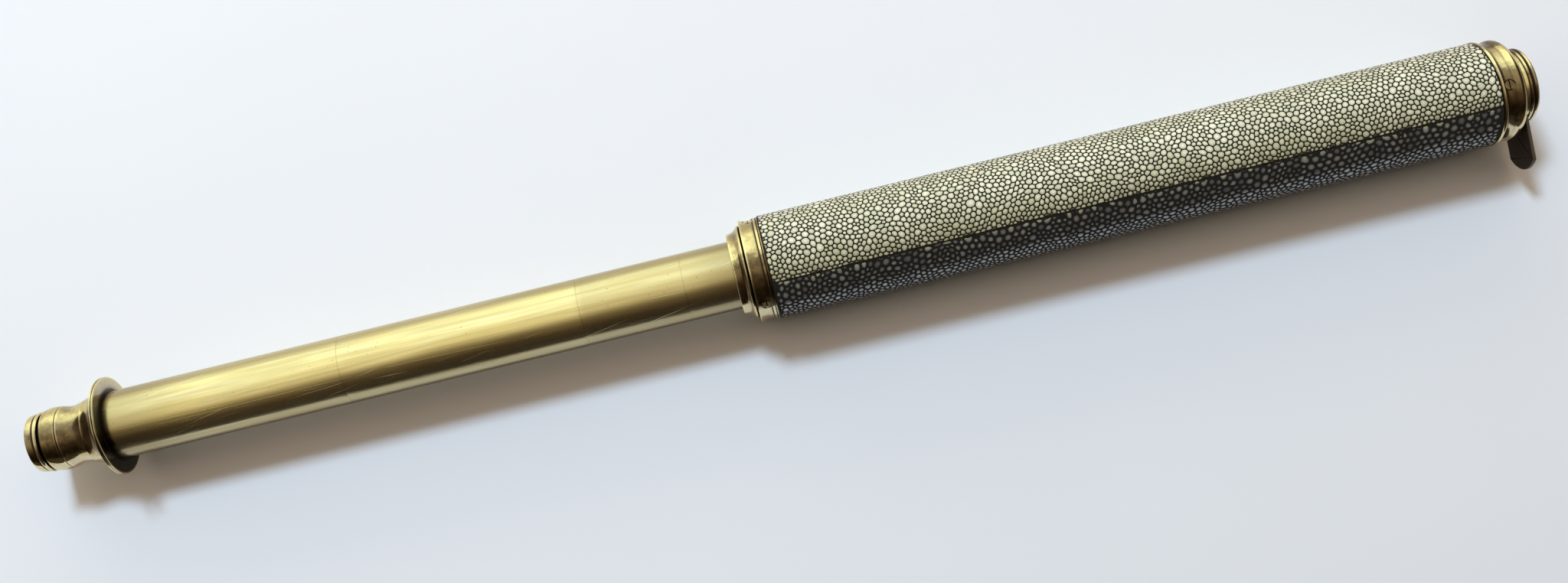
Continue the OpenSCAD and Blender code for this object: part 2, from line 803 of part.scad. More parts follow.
module erector_front_lens() {
    color(GLASS) lens(draw_end_x - lens_lip - erector_t, erector_t, erector_d, erector_r, 0);
}

module erector_front_ring() {
    erector_keeper(draw_end_x, -1);
}

module erector_stop() {
    x = draw_end_x - erector_len / 2;
    color(DARK_BRASS) ring(x - 0.5, x + 0.5, erector_stop_d / 2, cell_out_r);
}

module erector_rear_cell() {
    erector_cell(erector_x, 1);
}

module erector_rear_lens() {
    color(GLASS) lens(erector_x + lens_lip, erector_t, erector_d, 0, erector_r);
}

module erector_rear_ring() {
    erector_keeper(erector_x, 1);
}

barrel_tube();
shagreen_skin();
eye_mount();
eye_mount_screws();
draw_sleeve();
objective_mount();
objective_mount_screws();
shutter_housing();
objective_cell();
crown_lens();
flint_lens();
objective_ring();
shutter_spring();
shutter_blade();
front_ring();
front_ring_screws();
draw_tube();
draw_stop_ring();
eyepiece_body();
eyepiece_head();
eye_lens();
eye_lens_ring();
eye_cap();
field_stop();
field_tube();
field_lens();
field_lens_ring();
erector_tube();
erector_front_cell();
erector_front_lens();
erector_front_ring();
erector_stop();
erector_rear_cell();
erector_rear_lens();
erector_rear_ring();
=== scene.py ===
"""A hand telescope with one brass draw, drawn out on a pale table.

Lengths in the outlines are millimetres. X is the optical axis and points to the objective, Z is up.
A clock angle is counted from the top (+Z) towards the near side (-Y).
"""

import math
from functools import cache

import bmesh
import bpy
import numpy as np
from bpy.props import FloatProperty, FloatVectorProperty, IntProperty, PointerProperty
from mathutils import Matrix, Vector
from mathutils.geometry import delaunay_2d_cdt


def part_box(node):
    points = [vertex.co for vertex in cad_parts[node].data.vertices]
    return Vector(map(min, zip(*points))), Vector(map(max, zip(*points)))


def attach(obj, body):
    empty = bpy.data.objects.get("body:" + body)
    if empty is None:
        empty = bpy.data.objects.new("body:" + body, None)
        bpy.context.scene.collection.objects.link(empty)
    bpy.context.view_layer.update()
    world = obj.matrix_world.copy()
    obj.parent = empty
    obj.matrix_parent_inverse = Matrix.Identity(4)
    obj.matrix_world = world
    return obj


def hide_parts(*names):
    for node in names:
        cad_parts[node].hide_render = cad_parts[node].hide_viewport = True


bl_info = {
    "name": "Brass Draw Telescope",
    "version": (1, 0, 0),
    "blender": (4, 5, 0),
    "location": "View3D > Sidebar > Telescope",
    "description": "A skin-covered hand telescope with a brass draw and a dust shutter",
    "category": "Add Mesh",
}

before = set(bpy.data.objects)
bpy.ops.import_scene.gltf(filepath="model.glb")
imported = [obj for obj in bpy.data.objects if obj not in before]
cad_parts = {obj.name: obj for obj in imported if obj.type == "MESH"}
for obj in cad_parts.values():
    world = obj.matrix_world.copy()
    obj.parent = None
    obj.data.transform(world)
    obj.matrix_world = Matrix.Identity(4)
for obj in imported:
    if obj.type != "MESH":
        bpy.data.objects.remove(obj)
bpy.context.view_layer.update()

MM = 0.001
TAU = 2 * math.pi
SKIN_LOW, SKIN_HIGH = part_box("shagreen_skin")
SKIN_R = SKIN_HIGH.z
TUBE_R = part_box("barrel_tube")[1].z
FLOOR_Z = SKIN_LOW.z

# Stations along the axis, radii and clock angles of the outlines, in millimetres and degrees
BARREL_R, SOCKET_R = 23.0, 20.63
EYE_END, OBJECTIVE_END, FLANGE = -159.0, 159.0, -452.0
BLADE, FRONT_RING, BLADE_CLOCK = 172.5, 174.15, 109
RING_PLACES = (-196.05, -242.15, -348.05)   # the lines turned on the draw tube
FINE_EDGE = 0.1   # rounding of a turned edge
SHARP_TURN, SHARP_BEAD, SHARP_BLADE = 38, 62, 20   # edges that bend by more are shaded sharp

# Screw holes as (radius, height) points
SCREW_HOLE = [(1.0, -2.6), (1.05, -1.15), (2.3, 0.0), (2.3, 2.5)]
SMALL_SCREW_HOLE = [(0.75, -2.2), (0.75, -0.7), (1.26, 0.0), (1.26, 1.2)]

# Long scratches on the draw tube, in metres on its UV map: place round the tube where it starts,
# slant, where it starts and ends along the tube, and half its width
LONG_SCRATCHES = [(0.0056, 0.012, -0.449, -0.385, 0.00013),
                  (0.0078, -0.006, -0.430, -0.330, 0.00009),
                  (0.0069, 0.02, -0.330, -0.262, 0.00011)]

# Colours of dirt, rubbed metal and pits, and of painted reflections and painted shade
# a paler, less golden tint: a painted reflection of the floor on the brass's lower near side
FLOOR_REFLECTION = (0.78, 0.69, 0.49)
# brown of the bands of painted shade on the brass
SHADE_BROWN = (0.098, 0.058, 0.028)
# on the flange's face: a pale painted reflection of the floor, and black painted shade
FACE_REFLECTION, FACE_SHADE = (0.50, 0.45, 0.36), (0.02, 0.015, 0.012)
RUBBED, DIRT = (0.86, 0.72, 0.36), (0.035, 0.022, 0.014)
# black painted shade in screw slots and rims, and the brown of pits
SLOT_SHADE, PIT = (0.01, 0.007, 0.005), (0.05, 0.035, 0.02)


class SkinSizes(bpy.types.PropertyGroup):
    """The ray skin on the barrel."""

    pitch: FloatProperty(name="Bead pitch", description="Mean distance between two beads",
                         default=0.00248, min=0.001, unit="LENGTH")
    gap: FloatProperty(name="Gap", description="From a bead's edge to the middle of the gap",
                       default=0.00029, min=0.0001, unit="LENGTH")
    depth: FloatProperty(name="Gap depth", description="How far the gap lies below the beads",
                         default=0.00016, min=0.00001, unit="LENGTH")
    crown: FloatProperty(name="Crown", description="How far a bead's middle stands over its edge",
                         default=0.00009, min=0.0, unit="LENGTH")
    seam: FloatProperty(name="Seam angle", description="Clock angle of the lengthwise seam",
                        default=math.radians(33), subtype="ANGLE", unit="ROTATION")
    seam_width: FloatProperty(name="Seam width", description="Width of the seam",
                              default=0.0005, unit="LENGTH")
    seed: IntProperty(name="Seed", description="Sets which beads are large", default=7)
    bead: FloatVectorProperty(name="Bead colour", description="A pale bead", subtype="COLOR",
                              default=(0.84, 0.80, 0.57), min=0, max=1)
    groove: FloatVectorProperty(name="Gap colour", description="The dark gap", subtype="COLOR",
                                default=(0.012, 0.012, 0.008), min=0, max=1)


class BrassLook(bpy.types.PropertyGroup):
    """The brass pieces."""

    turns: IntProperty(name="Turns", description="Faces round a turned piece", default=224, min=48)
    bright: FloatVectorProperty(name="Bright brass", description="Rubbed brass", subtype="COLOR",
                                default=(0.75, 0.59, 0.22), min=0, max=1)
    dull: FloatVectorProperty(name="Dull brass", description="Tarnished brass", subtype="COLOR",
                              default=(0.34, 0.24, 0.105), min=0, max=1)
    dark: FloatVectorProperty(name="Dark brass", description="Blackened brass", subtype="COLOR",
                              default=(0.035, 0.026, 0.02), min=0, max=1)


class StageLook(bpy.types.PropertyGroup):
    """The floor and the light."""

    floor: FloatVectorProperty(name="Floor colour", description="The pale floor", subtype="COLOR",
                               default=(0.80, 0.845, 0.895), min=0, max=1)
    key: FloatProperty(name="Sky light", default=66.0,
                       description="Power of the small lamp that gives the shadow")
    window: FloatProperty(name="Window", description="Power of the low lamp beyond the telescope",
                          default=20.0)
    sky: FloatVectorProperty(name="Sky colour", description="Cool light of the small lamp",
                             subtype="COLOR", default=(0.64, 0.82, 1.0), min=0, max=1)
    room: FloatVectorProperty(name="Room light", description="Warm light from all round",
                              subtype="COLOR", default=(0.80, 0.62, 0.45), min=0, max=1)


# Shapes


def arc(centre, r, start, stop, n):
    """Points centre + r (cos a, sin a), for a from start to stop degrees."""
    a = np.radians(np.linspace(start, stop, n + 1))[:, None]
    return np.asarray(centre, float) + r * np.hstack([np.cos(a), np.sin(a)])


def sweep(p, pull, q, n=18):
    """Points on the parabola from p to q that leaves p and meets q in the direction of pull."""
    t = np.linspace(0, 1, n + 1)[:, None]
    p, pull, q = (np.asarray(v, float) for v in (p, pull, q))
    return (1 - t) ** 2 * p + 2 * t * (1 - t) * pull + t ** 2 * q


def rounded(outline, radius):
    """The outline with each corner cut back by radius, or a third of its shorter side, and drawn
    as a parabola of five points: (1-t)^2 a + 2t(1-t) corner + t^2 b. Nearly straight corners
    stay as they are."""
    nearly_straight = -0.93
    p = np.asarray(outline, float)
    back, ahead = np.roll(p, 1, 0) - p, np.roll(p, -1, 0) - p
    lb, la = np.linalg.norm(back, axis=1), np.linalg.norm(ahead, axis=1)
    cosine = (back * ahead).sum(1) / (lb * la)
    cut = np.minimum(radius, np.minimum(lb, la) / 3)[:, None]
    a, b = p + back / lb[:, None] * cut, p + ahead / la[:, None] * cut
    t = np.linspace(0, 1, 5)[None, :, None]
    curves = (1 - t) ** 2 * a[:, None] + 2 * t * (1 - t) * p[:, None] + t ** 2 * b[:, None]
    corner = cosine > nearly_straight
    keep = np.where(corner[:, None], True, np.arange(5)[None, :] == 2)
    curves[~corner, 2] = p[~corner]
    return curves.reshape(-1, 2)[keep.reshape(-1)]


def divided(outline, step):
    """The closed outline with points added so that no side is longer than step."""
    p = np.asarray(outline, float)
    q = np.roll(p, -1, 0)
    parts = np.maximum(1, np.ceil(np.linalg.norm(q - p, axis=1) / step)).astype(int)
    side = np.repeat(np.arange(len(p)), parts)
    first = np.repeat(np.cumsum(parts) - parts, parts)
    t = ((np.arange(len(side)) - first) / parts[side])[:, None]
    return p[side] * (1 - t) + q[side] * t


def wear_of(outline):
    """How proud each point of a closed outline lies: 1 on an edge, 0 in a groove, 0.5 on a plain
    face. It is the turning angle summed over the points nearby, with a bell-shaped weight."""
    reach = 0.55
    p = np.asarray(outline, float)
    ahead, back = np.roll(p, -1, 0) - p, p - np.roll(p, 1, 0)
    turn = np.arctan2(back[:, 0] * ahead[:, 1] - back[:, 1] * ahead[:, 0], (back * ahead).sum(1))
    turn = np.clip(turn, -0.7, 0.7)
    length = np.linalg.norm(ahead, axis=1)
    at = np.concatenate([[0], np.cumsum(length)])
    total, at = at[-1], at[:-1]
    apart = np.abs(at[:, None] - at[None, :])
    apart = np.minimum(apart, total - apart)
    felt = (np.exp(-(apart / reach) ** 2) * turn[None, :]).sum(1)
    return np.clip(0.5 + 0.45 * felt, 0, 1)


def placed(name, data):
    """A new object in the scene."""
    piece = bpy.data.objects.new(name, data)
    bpy.context.scene.collection.objects.link(piece)
    return piece


def set_values(mesh, key, values):
    """Stores a named value for each point."""
    stored = mesh.attributes.get(key) or mesh.attributes.new(key, "FLOAT", "POINT")
    stored.data.foreach_set("value", np.asarray(values, np.float32))


def values_of(mesh, key):
    """The named value of each point."""
    values = np.zeros(len(mesh.vertices), np.float32)
    mesh.attributes[key].data.foreach_get("value", values)
    return values


def shade_smooth(mesh, sharp):
    """Smooth shading, with the edges sharp where the faces turn by more degrees than sharp."""
    mesh.shade_smooth()
    mesh.set_sharp_from_angle(angle=math.radians(sharp))


def build_mesh(name, co, faces, uv=None):
    """A mesh object from an array of points, a list of faces and a UV place per corner."""
    mesh = bpy.data.meshes.new(name)
    mesh.from_pydata(np.asarray(co, float).tolist(), [], faces)
    mesh.update()
    if uv is not None:
        mesh.uv_layers.new(name="along").data.foreach_set("uv", np.asarray(uv, np.float32).ravel())
    return placed(name, mesh)


def turned(name, outline, step=0.6, soil=()):
    """A turned piece. The closed outline's points (x, r) go round the X axis:
    y = -r sin a, z = r cos a, with a from -180 to 180 degrees, so that the join is underneath.
    The UV map holds x and a times the largest radius, in metres. soil lists (x, r, reach) places
    where dirt sits, such as a joint with the next piece: there wear falls to 0 with a bell-shaped
    weight of that reach."""
    turns = bpy.context.scene.telescope_brass.turns
    p = divided(rounded(outline, FINE_EDGE), step)
    q = np.roll(p, -1, 0)
    if (p[:, 0] * q[:, 1] - q[:, 0] * p[:, 1]).sum() < 0:
        p = p[::-1]
    wear = wear_of(p)
    for x, r, reach in soil:
        wear = wear * (1 - np.exp(-((p[:, 0] - x) ** 2 + (p[:, 1] - r) ** 2) / reach ** 2))
    n = len(p)
    a = np.linspace(-math.pi, math.pi, turns, endpoint=False)
    r = p[:, 1:]
    co = np.stack([np.repeat(p[:, :1], turns, 1), -r * np.sin(a), r * np.cos(a)], -1) * MM
    i, j = np.meshgrid(np.arange(n), np.arange(turns), indexing="ij")
    i2, j2 = (i + 1) % n, (j + 1) % turns
    faces = np.stack([i * turns + j, i2 * turns + j, i2 * turns + j2, i * turns + j2], -1)
    angle = -math.pi + TAU / turns * np.stack([j, j, j + 1, j + 1], -1)
    along = p[:, 0][np.stack([i, i2, i2, i], -1)]
    uv = np.stack([along, angle * p[:, 1].max()], -1) * MM
    piece = build_mesh(name, co.reshape(-1, 3), faces.reshape(-1, 4).tolist(), uv)
    shade_smooth(piece.data, SHARP_TURN)
    set_values(piece.data, "wear", np.repeat(wear, turns))
    return piece


def ring_faces(rows, count):
    """Faces between closed rings of points, and a face across each end."""
    i, j = np.meshgrid(np.arange(rows - 1), np.arange(count), indexing="ij")
    j2 = (j + 1) % count
    sides = np.stack([i * count + j, i * count + j2, (i + 1) * count + j2, (i + 1) * count + j], -1)
    ends = [list(range(count))[::-1], list(range((rows - 1) * count, rows * count))]
    return sides.reshape(-1, 4).tolist(), ends


def clock_matrix(angle):
    """Turns +Z to a clock angle in degrees."""
    return Matrix.Rotation(math.radians(angle), 4, "X")


def bore_holes(piece, places, outline, turns=48):
    """Cuts a round hole at each place. The cutter is the outline of (radius, height) points turned
    round the place's own Z axis, and each place is a matrix."""
    p = np.asarray(outline, float) * MM
    a = np.linspace(0, TAU, turns, endpoint=False)
    ring = np.stack([p[:, :1] * np.cos(a), p[:, :1] * np.sin(a), np.repeat(p[:, 1:], turns, 1)], -1)
    sides, ends = ring_faces(len(p), turns)
    mesh = bpy.data.meshes.new("cutter")
    mesh.from_pydata(ring.reshape(-1, 3).tolist(), [], ends + sides)
    whole = bmesh.new()
    for place in places:
        one = mesh.copy()
        one.transform(place)
        whole.from_mesh(one)
        bpy.data.meshes.remove(one)
    bmesh.ops.recalc_face_normals(whole, faces=whole.faces)
    whole.to_mesh(mesh)
    whole.free()
    cutter = placed("cutter", mesh)
    cut = piece.modifiers.new("holes", "BOOLEAN")
    cut.operation, cut.object, cut.solver = "DIFFERENCE", cutter, "EXACT"
    done = bpy.data.meshes.new_from_object(
        piece.evaluated_get(bpy.context.evaluated_depsgraph_get()))
    piece.modifiers.clear()
    piece.data = done
    done.set_sharp_from_angle(angle=math.radians(SHARP_TURN))
    bpy.data.objects.remove(cutter)


def paint(piece, name):
    """Gives a piece the named finish and no other."""
    piece.data.materials.clear()
    piece.data.materials.append(finish(name))


def finish_piece(piece, body, slot, name, *nodes):
    """Gives a piece its named finish and its place in the model."""
    paint(piece, name)
    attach(piece, body)
    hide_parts(*nodes)


# Materials


class Nodes:
    """Short calls for building one node tree."""

    def __init__(self, tree):
        self.tree = tree

    def add(self, kind, **settings):
        node = self.tree.nodes.new(kind)
        inputs = settings.pop("inputs", {})
        for key, value in settings.items():
            setattr(node, key, value)
        for key, value in inputs.items():
            self.put(value, node.inputs[key])
        return node

    def put(self, value, socket):
        """Links another node's value to a socket, or sets a plain value on it."""
        if isinstance(value, bpy.types.NodeSocket):
            self.tree.links.new(value, socket)
        elif socket.type == "RGBA":
            socket.default_value = (*value, 1)
        else:
            socket.default_value = value

    def place(self, kind="Object"):
        return self.add("ShaderNodeTexCoord").outputs[kind]

    def stored(self, name):
        return self.add("ShaderNodeAttribute", attribute_name=name).outputs["Fac"]

    def parts(self, vector):
        return self.add("ShaderNodeSeparateXYZ", inputs={0: vector}).outputs

    def math(self, operation, a, b=0.0):
        return self.add("ShaderNodeMath", operation=operation, inputs={0: a, 1: b}).outputs[0]

    def plus(self, total, *others):
        for other in others:
            total = self.math("ADD", total, other)
        return total

    def minus(self, a, b):
        return self.math("SUBTRACT", a, b)

    def times(self, a, b):
        return self.math("MULTIPLY", a, b)

    def most(self, a, b):
        return self.math("MAXIMUM", a, b)

    def apart(self, a, b):
        return self.math("ABSOLUTE", self.minus(a, b))

    def span(self, value, low, high, to_low=0.0, to_high=1.0, smooth=True):
        """The value's place between low and high, carried over to between to_low and to_high."""
        node = self.add("ShaderNodeMapRange",
                        interpolation_type="SMOOTHSTEP" if smooth else "LINEAR",
                        inputs={"Value": value, "From Min": low, "From Max": high,
                                "To Min": to_low, "To Max": to_high})
        return node.outputs[0]

    def mix(self, share, a, b):
        return self.add("ShaderNodeMix", data_type="RGBA",
                        inputs={0: share, 6: a, 7: b}).outputs[2]

    def layers(self, colour, *layers):
        """The colour with each (share, tint) laid over it in turn."""
        for share, tint in layers:
            colour = self.mix(share, colour, tint)
        return colour

    def noise(self, vector, scale, detail=3.0, rough=0.55):
        node = self.add("ShaderNodeTexNoise",
                        inputs={"Vector": vector, "Scale": scale, "Detail": detail,
                                "Roughness": rough})
        return node.outputs["Fac"]

    def stretched(self, vector, scale, turn=(0, 0, 0), move=(0, 0, 0)):
        node = self.add("ShaderNodeMapping", vector_type="POINT",
                        inputs={"Vector": vector, "Scale": scale, "Rotation": turn,
                                "Location": move})
        return node.outputs[0]


def new_group(name, inputs, outputs):
    """A node group that takes a Vector and the named numbers, and gives the named numbers. Returns
    its Nodes, its inputs and the sockets that take its outputs."""
    tree = bpy.data.node_groups.new(name, "ShaderNodeTree")
    tree.interface.new_socket("Vector", in_out="INPUT", socket_type="NodeSocketVector")
    for label, default in inputs.items():
        socket = tree.interface.new_socket(label, in_out="INPUT", socket_type="NodeSocketFloat")
        socket.default_value = default
    for label in outputs:
        tree.interface.new_socket(label, in_out="OUTPUT", socket_type="NodeSocketFloat")
    made = Nodes(tree)
    return made, made.add("NodeGroupInput").outputs, made.add("NodeGroupOutput").inputs


def make_streak_group():
    """Fine lines along a piece: a noise squeezed to long thin strips, a bundle of sparse
    hairlines at three slight slants, and broad smears. The vector runs in metres along the piece
    and across it."""
    made, given, out = new_group("Streaks", {"Along": 30.0, "Across": 1600.0},
                                 ["Grain", "Hairs", "Smears"])
    at, across = given["Vector"], given["Across"]
    scale = made.add("ShaderNodeCombineXYZ", inputs={0: given["Along"], 1: across, 2: across})
    made.put(made.noise(made.stretched(at, scale.outputs[0]), 1.0, 2.5, 0.5), out["Grain"])
    hairs = 0.0
    for turn, shift in ((0.07, 3.0), (-0.045, 11.0), (0.2, 23.0)):
        slanted = made.stretched(at, (1, 1, 1), turn=(0, 0, turn))
        strips = made.stretched(slanted, (16, 1150, 1150), move=(shift, shift, 0))
        hairs = made.most(made.span(made.noise(strips, 1.0, 1.0), 0.70, 0.76), hairs)
    made.put(hairs, out["Hairs"])
    made.put(made.noise(made.stretched(at, (22, 210, 210), move=(5, 2, 0)), 1.0), out["Smears"])
    return made.tree


def make_tarnish_group():
    """Cloudy patches from noise at two sizes, thicker where Wear is low, and small round pits
    where the clouds are thick."""
    made, given, out = new_group("Tarnish", {"Wear": 0.5, "Amount": 0.5}, ["Mask", "Pits"])
    at = given["Vector"]
    cloud = made.noise(at, 90.0, 4.0, 0.6)
    fine = made.noise(at, 520.0, 3.0, 0.6)
    hollow = made.span(given["Wear"], 0.62, 0.2)
    foul = made.plus(made.times(cloud, 0.75), made.times(fine, 0.35), made.times(hollow, 0.5))
    limit, soft = made.minus(1.05, made.times(given["Amount"], 0.75)), 0.22
    made.put(made.span(foul, made.minus(limit, soft), made.plus(limit, soft)), out["Mask"])
    spots = made.add("ShaderNodeTexVoronoi", feature="F1",
                     inputs={"Vector": at, "Scale": 420.0, "Randomness": 1.0})
    dots = made.span(spots.outputs["Distance"], 0.16, 0.05)
    made.put(made.times(dots, made.span(cloud, 0.5, 0.62)), out["Pits"])
    return made.tree


def make_lathe_group():
    """Rings that a lathe tool leaves: noise read at x and the distance from the axis only. Radius
    is that distance in metres, and Clock the clock angle in radians."""
    made, given, out = new_group("Lathe rings", {"Pitch": 2600.0}, ["Rings", "Radius", "Clock"])
    x, y, z = made.parts(given["Vector"])
    radius = made.math("SQRT", made.plus(made.times(y, y), made.times(z, z)))
    flat = made.add("ShaderNodeCombineXYZ", inputs={0: x, 1: radius})
    made.put(made.noise(flat.outputs[0], given["Pitch"], 3.0, 0.65), out["Rings"])
    made.put(radius, out["Radius"])
    made.put(made.math("ARCTAN2", made.times(y, -1.0), z), out["Clock"])
    return made.tree


@cache
def group(name):
    """The named effect group, built the first time that a material asks for it."""
    return {"Streaks": make_streak_group, "Tarnish": make_tarnish_group,
            "Lathe rings": make_lathe_group}[name]()


def use(made, name, **inputs):
    """Places an effect group in a material and returns its outputs."""
    return made.add("ShaderNodeGroup", node_tree=group(name), inputs=inputs).outputs


def new_material(name):
    """The Nodes of a new material, which hold it and its Principled shader's inputs too."""
    material = bpy.data.materials.new(name)
    material.use_nodes = True
    made = Nodes(material.node_tree)
    made.material = material
    made.shader = material.node_tree.nodes["Principled BSDF"].inputs
    return made


def dress(made, colour, rough, metallic=0.0, relief=None):
    """Completes a material. relief is a height, how many metres a height of 1 stands for, and how
    strongly it shows."""
    made.put(colour, made.shader["Base Color"])
    made.put(rough, made.shader["Roughness"])
    made.put(metallic, made.shader["Metallic"])
    if relief:
        bump = made.add("ShaderNodeBump", inputs=dict(zip(("Height", "Distance", "Strength"),
                                                          relief)))
        made.put(bump.outputs[0], made.shader["Normal"])
    return made.material


def turned_brass(name, amount, roughness, worn=True, top=None, patina=(), grime=None):
    """Old turned brass: bright on its edges, brown in its hollows, with lathe rings and pits.
    Where worn is off, the piece has no wear attribute and is the same all over. top is the
    distance from the axis, in metres, below which a screw's slot and rim are painted black as their
    shade. The bands, each given as four clock angles in degrees between which it comes and goes,
    are painted brown shade where the brass mirrors the dark room, mottled by a cloud. Beyond the
    given x of the face, in metres, the face is painted paler as a reflection of the floor and its
    near side black as painted shade. A paler tint low on the near side is a painted reflection of
    the floor."""
    look = bpy.context.scene.telescope_brass
    made = new_material(name)
    at = made.place()
    wear = made.stored("wear") if worn else 0.5
    lathe = use(made, "Lathe rings", Vector=at, Pitch=2400.0)
    rings, clock = lathe["Rings"], lathe["Clock"]
    spoiled = use(made, "Tarnish", Vector=at, Wear=wear, Amount=amount)
    # the last layer, set by clock angle, is a painted reflection of the floor on the lower near
    # side
    colour = made.layers(
        made.mix(spoiled["Mask"], look.bright, look.dull),
        (made.span(rings, 0.35, 0.7, 0.0, 0.12), (0.42, 0.31, 0.12)),
        (made.span(clock, math.radians(52), math.radians(64), 0.0, 0.6), FLOOR_REFLECTION))
    rough = made.plus(made.times(spoiled["Mask"], 0.07),
                      made.span(rings, 0.3, 0.7, roughness - 0.02, roughness + 0.03))
    # bands by clock angle: painted brown shade where the brass mirrors the dark room, mottled by a
    # cloud
    if patina:
        cloud = made.noise(made.stretched(at, (1, 1, 1), move=(0.3, 0.1, 0)), 210.0, 4.0, 0.6)
        wander = made.plus(clock, made.span(cloud, 0.25, 0.75, -0.12, 0.12))
        bands = 0.0
        for start, full, fading, end in np.radians(patina).tolist():
            band = made.times(made.span(wander, start, full), made.span(wander, end, fading))
            bands = made.most(band, bands)
        bands = made.times(bands, made.span(cloud, 0.3, 0.6, 1.0, 0.8))
        colour = made.mix(bands, colour, SHADE_BROWN)
        rough = made.plus(rough, made.times(bands, 0.05))
    # the face beyond the given x: a pale painted reflection of the floor, and black painted shade
    # on its near side
    if grime:
        face = made.span(made.parts(at)[0], grime - 0.0002, grime + 0.0001)
        near = made.span(clock, math.radians(-60), 0.0, 0.0, 0.97)
        colour = made.layers(colour, (made.times(face, 0.6), FACE_REFLECTION), (made.times(face, near), FACE_SHADE))
    if worn:
        colour = made.layers(colour, (made.span(wear, 0.6, 0.95, 0.0, 0.5), RUBBED),
                             (made.span(wear, 0.42, 0.06, 0.0, 0.96), DIRT))
        rough = made.plus(rough, made.span(wear, 0.35, 0.05, 0.0, 0.3))
    # below the screw head's top, the slot and rim are painted black as their shade
    if top:
        deep = made.span(lathe["Radius"], top - 0.0001, top - 0.0003)
        colour = made.mix(deep, colour, SLOT_SHADE)
        rough = made.plus(rough, made.times(deep, 0.4))
    colour = made.mix(made.times(spoiled["Pits"], 0.75), colour, PIT)
    height = made.plus(made.times(rings, 0.15), made.times(spoiled["Pits"], -2.0))
    return dress(made, colour, rough, 1.0, (height, 0.00001, 0.3))


def drawn_brass(name):
    """Bare drawn brass with lengthwise scratches, smears, brown stains and faint spots. Its UV map
    runs in metres along the tube and from the top round towards the near side. The long scratches
    are thin bands about a straight line over a stretch of the tube."""
    made = new_material(name)
    at = made.place("UV")
    along, across, _ = made.parts(at)
    wear = made.stored("wear")
    streaks = use(made, "Streaks", Vector=at, Along=14.0, Across=520.0)
    grain, smears = streaks["Grain"], streaks["Smears"]
    spoiled = use(made, "Tarnish", Vector=made.place(), Wear=wear, Amount=0.22)
    stain = made.noise(made.stretched(at, (9, 95, 95), move=(3, 7, 0)), 1.0, 4.0, 0.6)
    scratches = 0.0
    for start, slant, first, last, half in LONG_SCRATCHES:
        off = made.apart(made.plus(across, made.times(along, -slant)), start - slant * first)
        here = made.times(made.span(along, first, first + 0.004),
                          made.span(along, last, last - 0.03))
        one = made.times(made.span(off, half * 1.6, half * 0.4), here)
        scratches = made.most(one, scratches)
    rings = 0.0
    for x in RING_PLACES:
        rings = made.most(made.span(made.apart(along, x * MM), 0.0004, 0.0001, 0.0, 0.4), rings)
    # painted shade on the tube beside the flange and beside the eye mount
    end_shade = made.most(made.span(along, -0.405, -0.448, 0.0, 0.6),
                          made.span(along, -0.200, -0.172, 0.0, 0.6))
    duller_part = made.span(along, -0.245, -0.239, 0.0, 0.4)
    # painted shade: darker from about 30° past the top on the far side
    far_shade = made.span(across, -0.0078, -0.0112, 0.0, 0.45)
    # painted reflection of the floor: a greyer, less golden tint low on the near side
    near_reflection = made.span(across, 0.0118, 0.0142, 0.0, 0.6)
    # painted shade: dark from just below the side round under the tube
    under_shade = made.times(made.span(across, 0.0218, 0.0238, 0.0, 0.85),
                           made.span(across, 0.036, 0.044, 1.0, 0.0))
    colour = made.layers(
        made.mix(made.span(smears, 0.32, 0.68), (0.80, 0.66, 0.29),
                 bpy.context.scene.telescope_brass.bright),
        (made.span(stain, 0.46, 0.7, 0.0, 0.5), (0.46, 0.35, 0.15)),
        (duller_part, (0.42, 0.32, 0.14)),
        (far_shade, (0.40, 0.31, 0.14)),
        (end_shade, (0.30, 0.225, 0.105)),
        (near_reflection, (0.40, 0.35, 0.25)),
        (under_shade, (0.09, 0.068, 0.04)),
        (rings, (0.36, 0.27, 0.12)),
        (made.span(grain, 0.42, 0.66, 0.0, 0.45), (0.47, 0.36, 0.15)),
        (made.times(streaks["Hairs"], 0.35), (0.97, 0.90, 0.66)),
        (made.times(spoiled["Pits"], 0.7), (0.16, 0.11, 0.05)),
        (made.span(wear, 0.42, 0.05, 0.0, 0.9), (0.06, 0.04, 0.02)))
    marks = made.most(streaks["Hairs"], scratches)
    rough = made.plus(made.span(grain, 0.35, 0.7, 0.17, 0.28),
                      made.span(smears, 0.35, 0.7, -0.03, 0.05), made.times(marks, 0.25))
    height = made.plus(made.minus(grain, marks), made.times(smears, 2.0))
    return dress(made, colour, rough, 1.0, (height, 0.00003, 0.5))


def dark_brass(name, roughness):
    """Brass under a dark brown tarnish, rubbed a little on its edges."""
    made = new_material(name)
    at = made.place()
    wear = made.stored("wear")
    spoiled = use(made, "Tarnish", Vector=at, Wear=wear, Amount=0.6)
    colour = made.layers(bpy.context.scene.telescope_brass.dark,
                         (spoiled["Mask"], (0.055, 0.04, 0.028)),
                         (made.span(wear, 0.62, 0.95, 0.0, 0.5), (0.2, 0.15, 0.1)))
    rough = made.span(spoiled["Mask"], 0, 1, roughness, roughness + 0.15)
    return dress(made, colour, rough, 0.75, (made.noise(at, 900.0), 0.00003, 0.5))


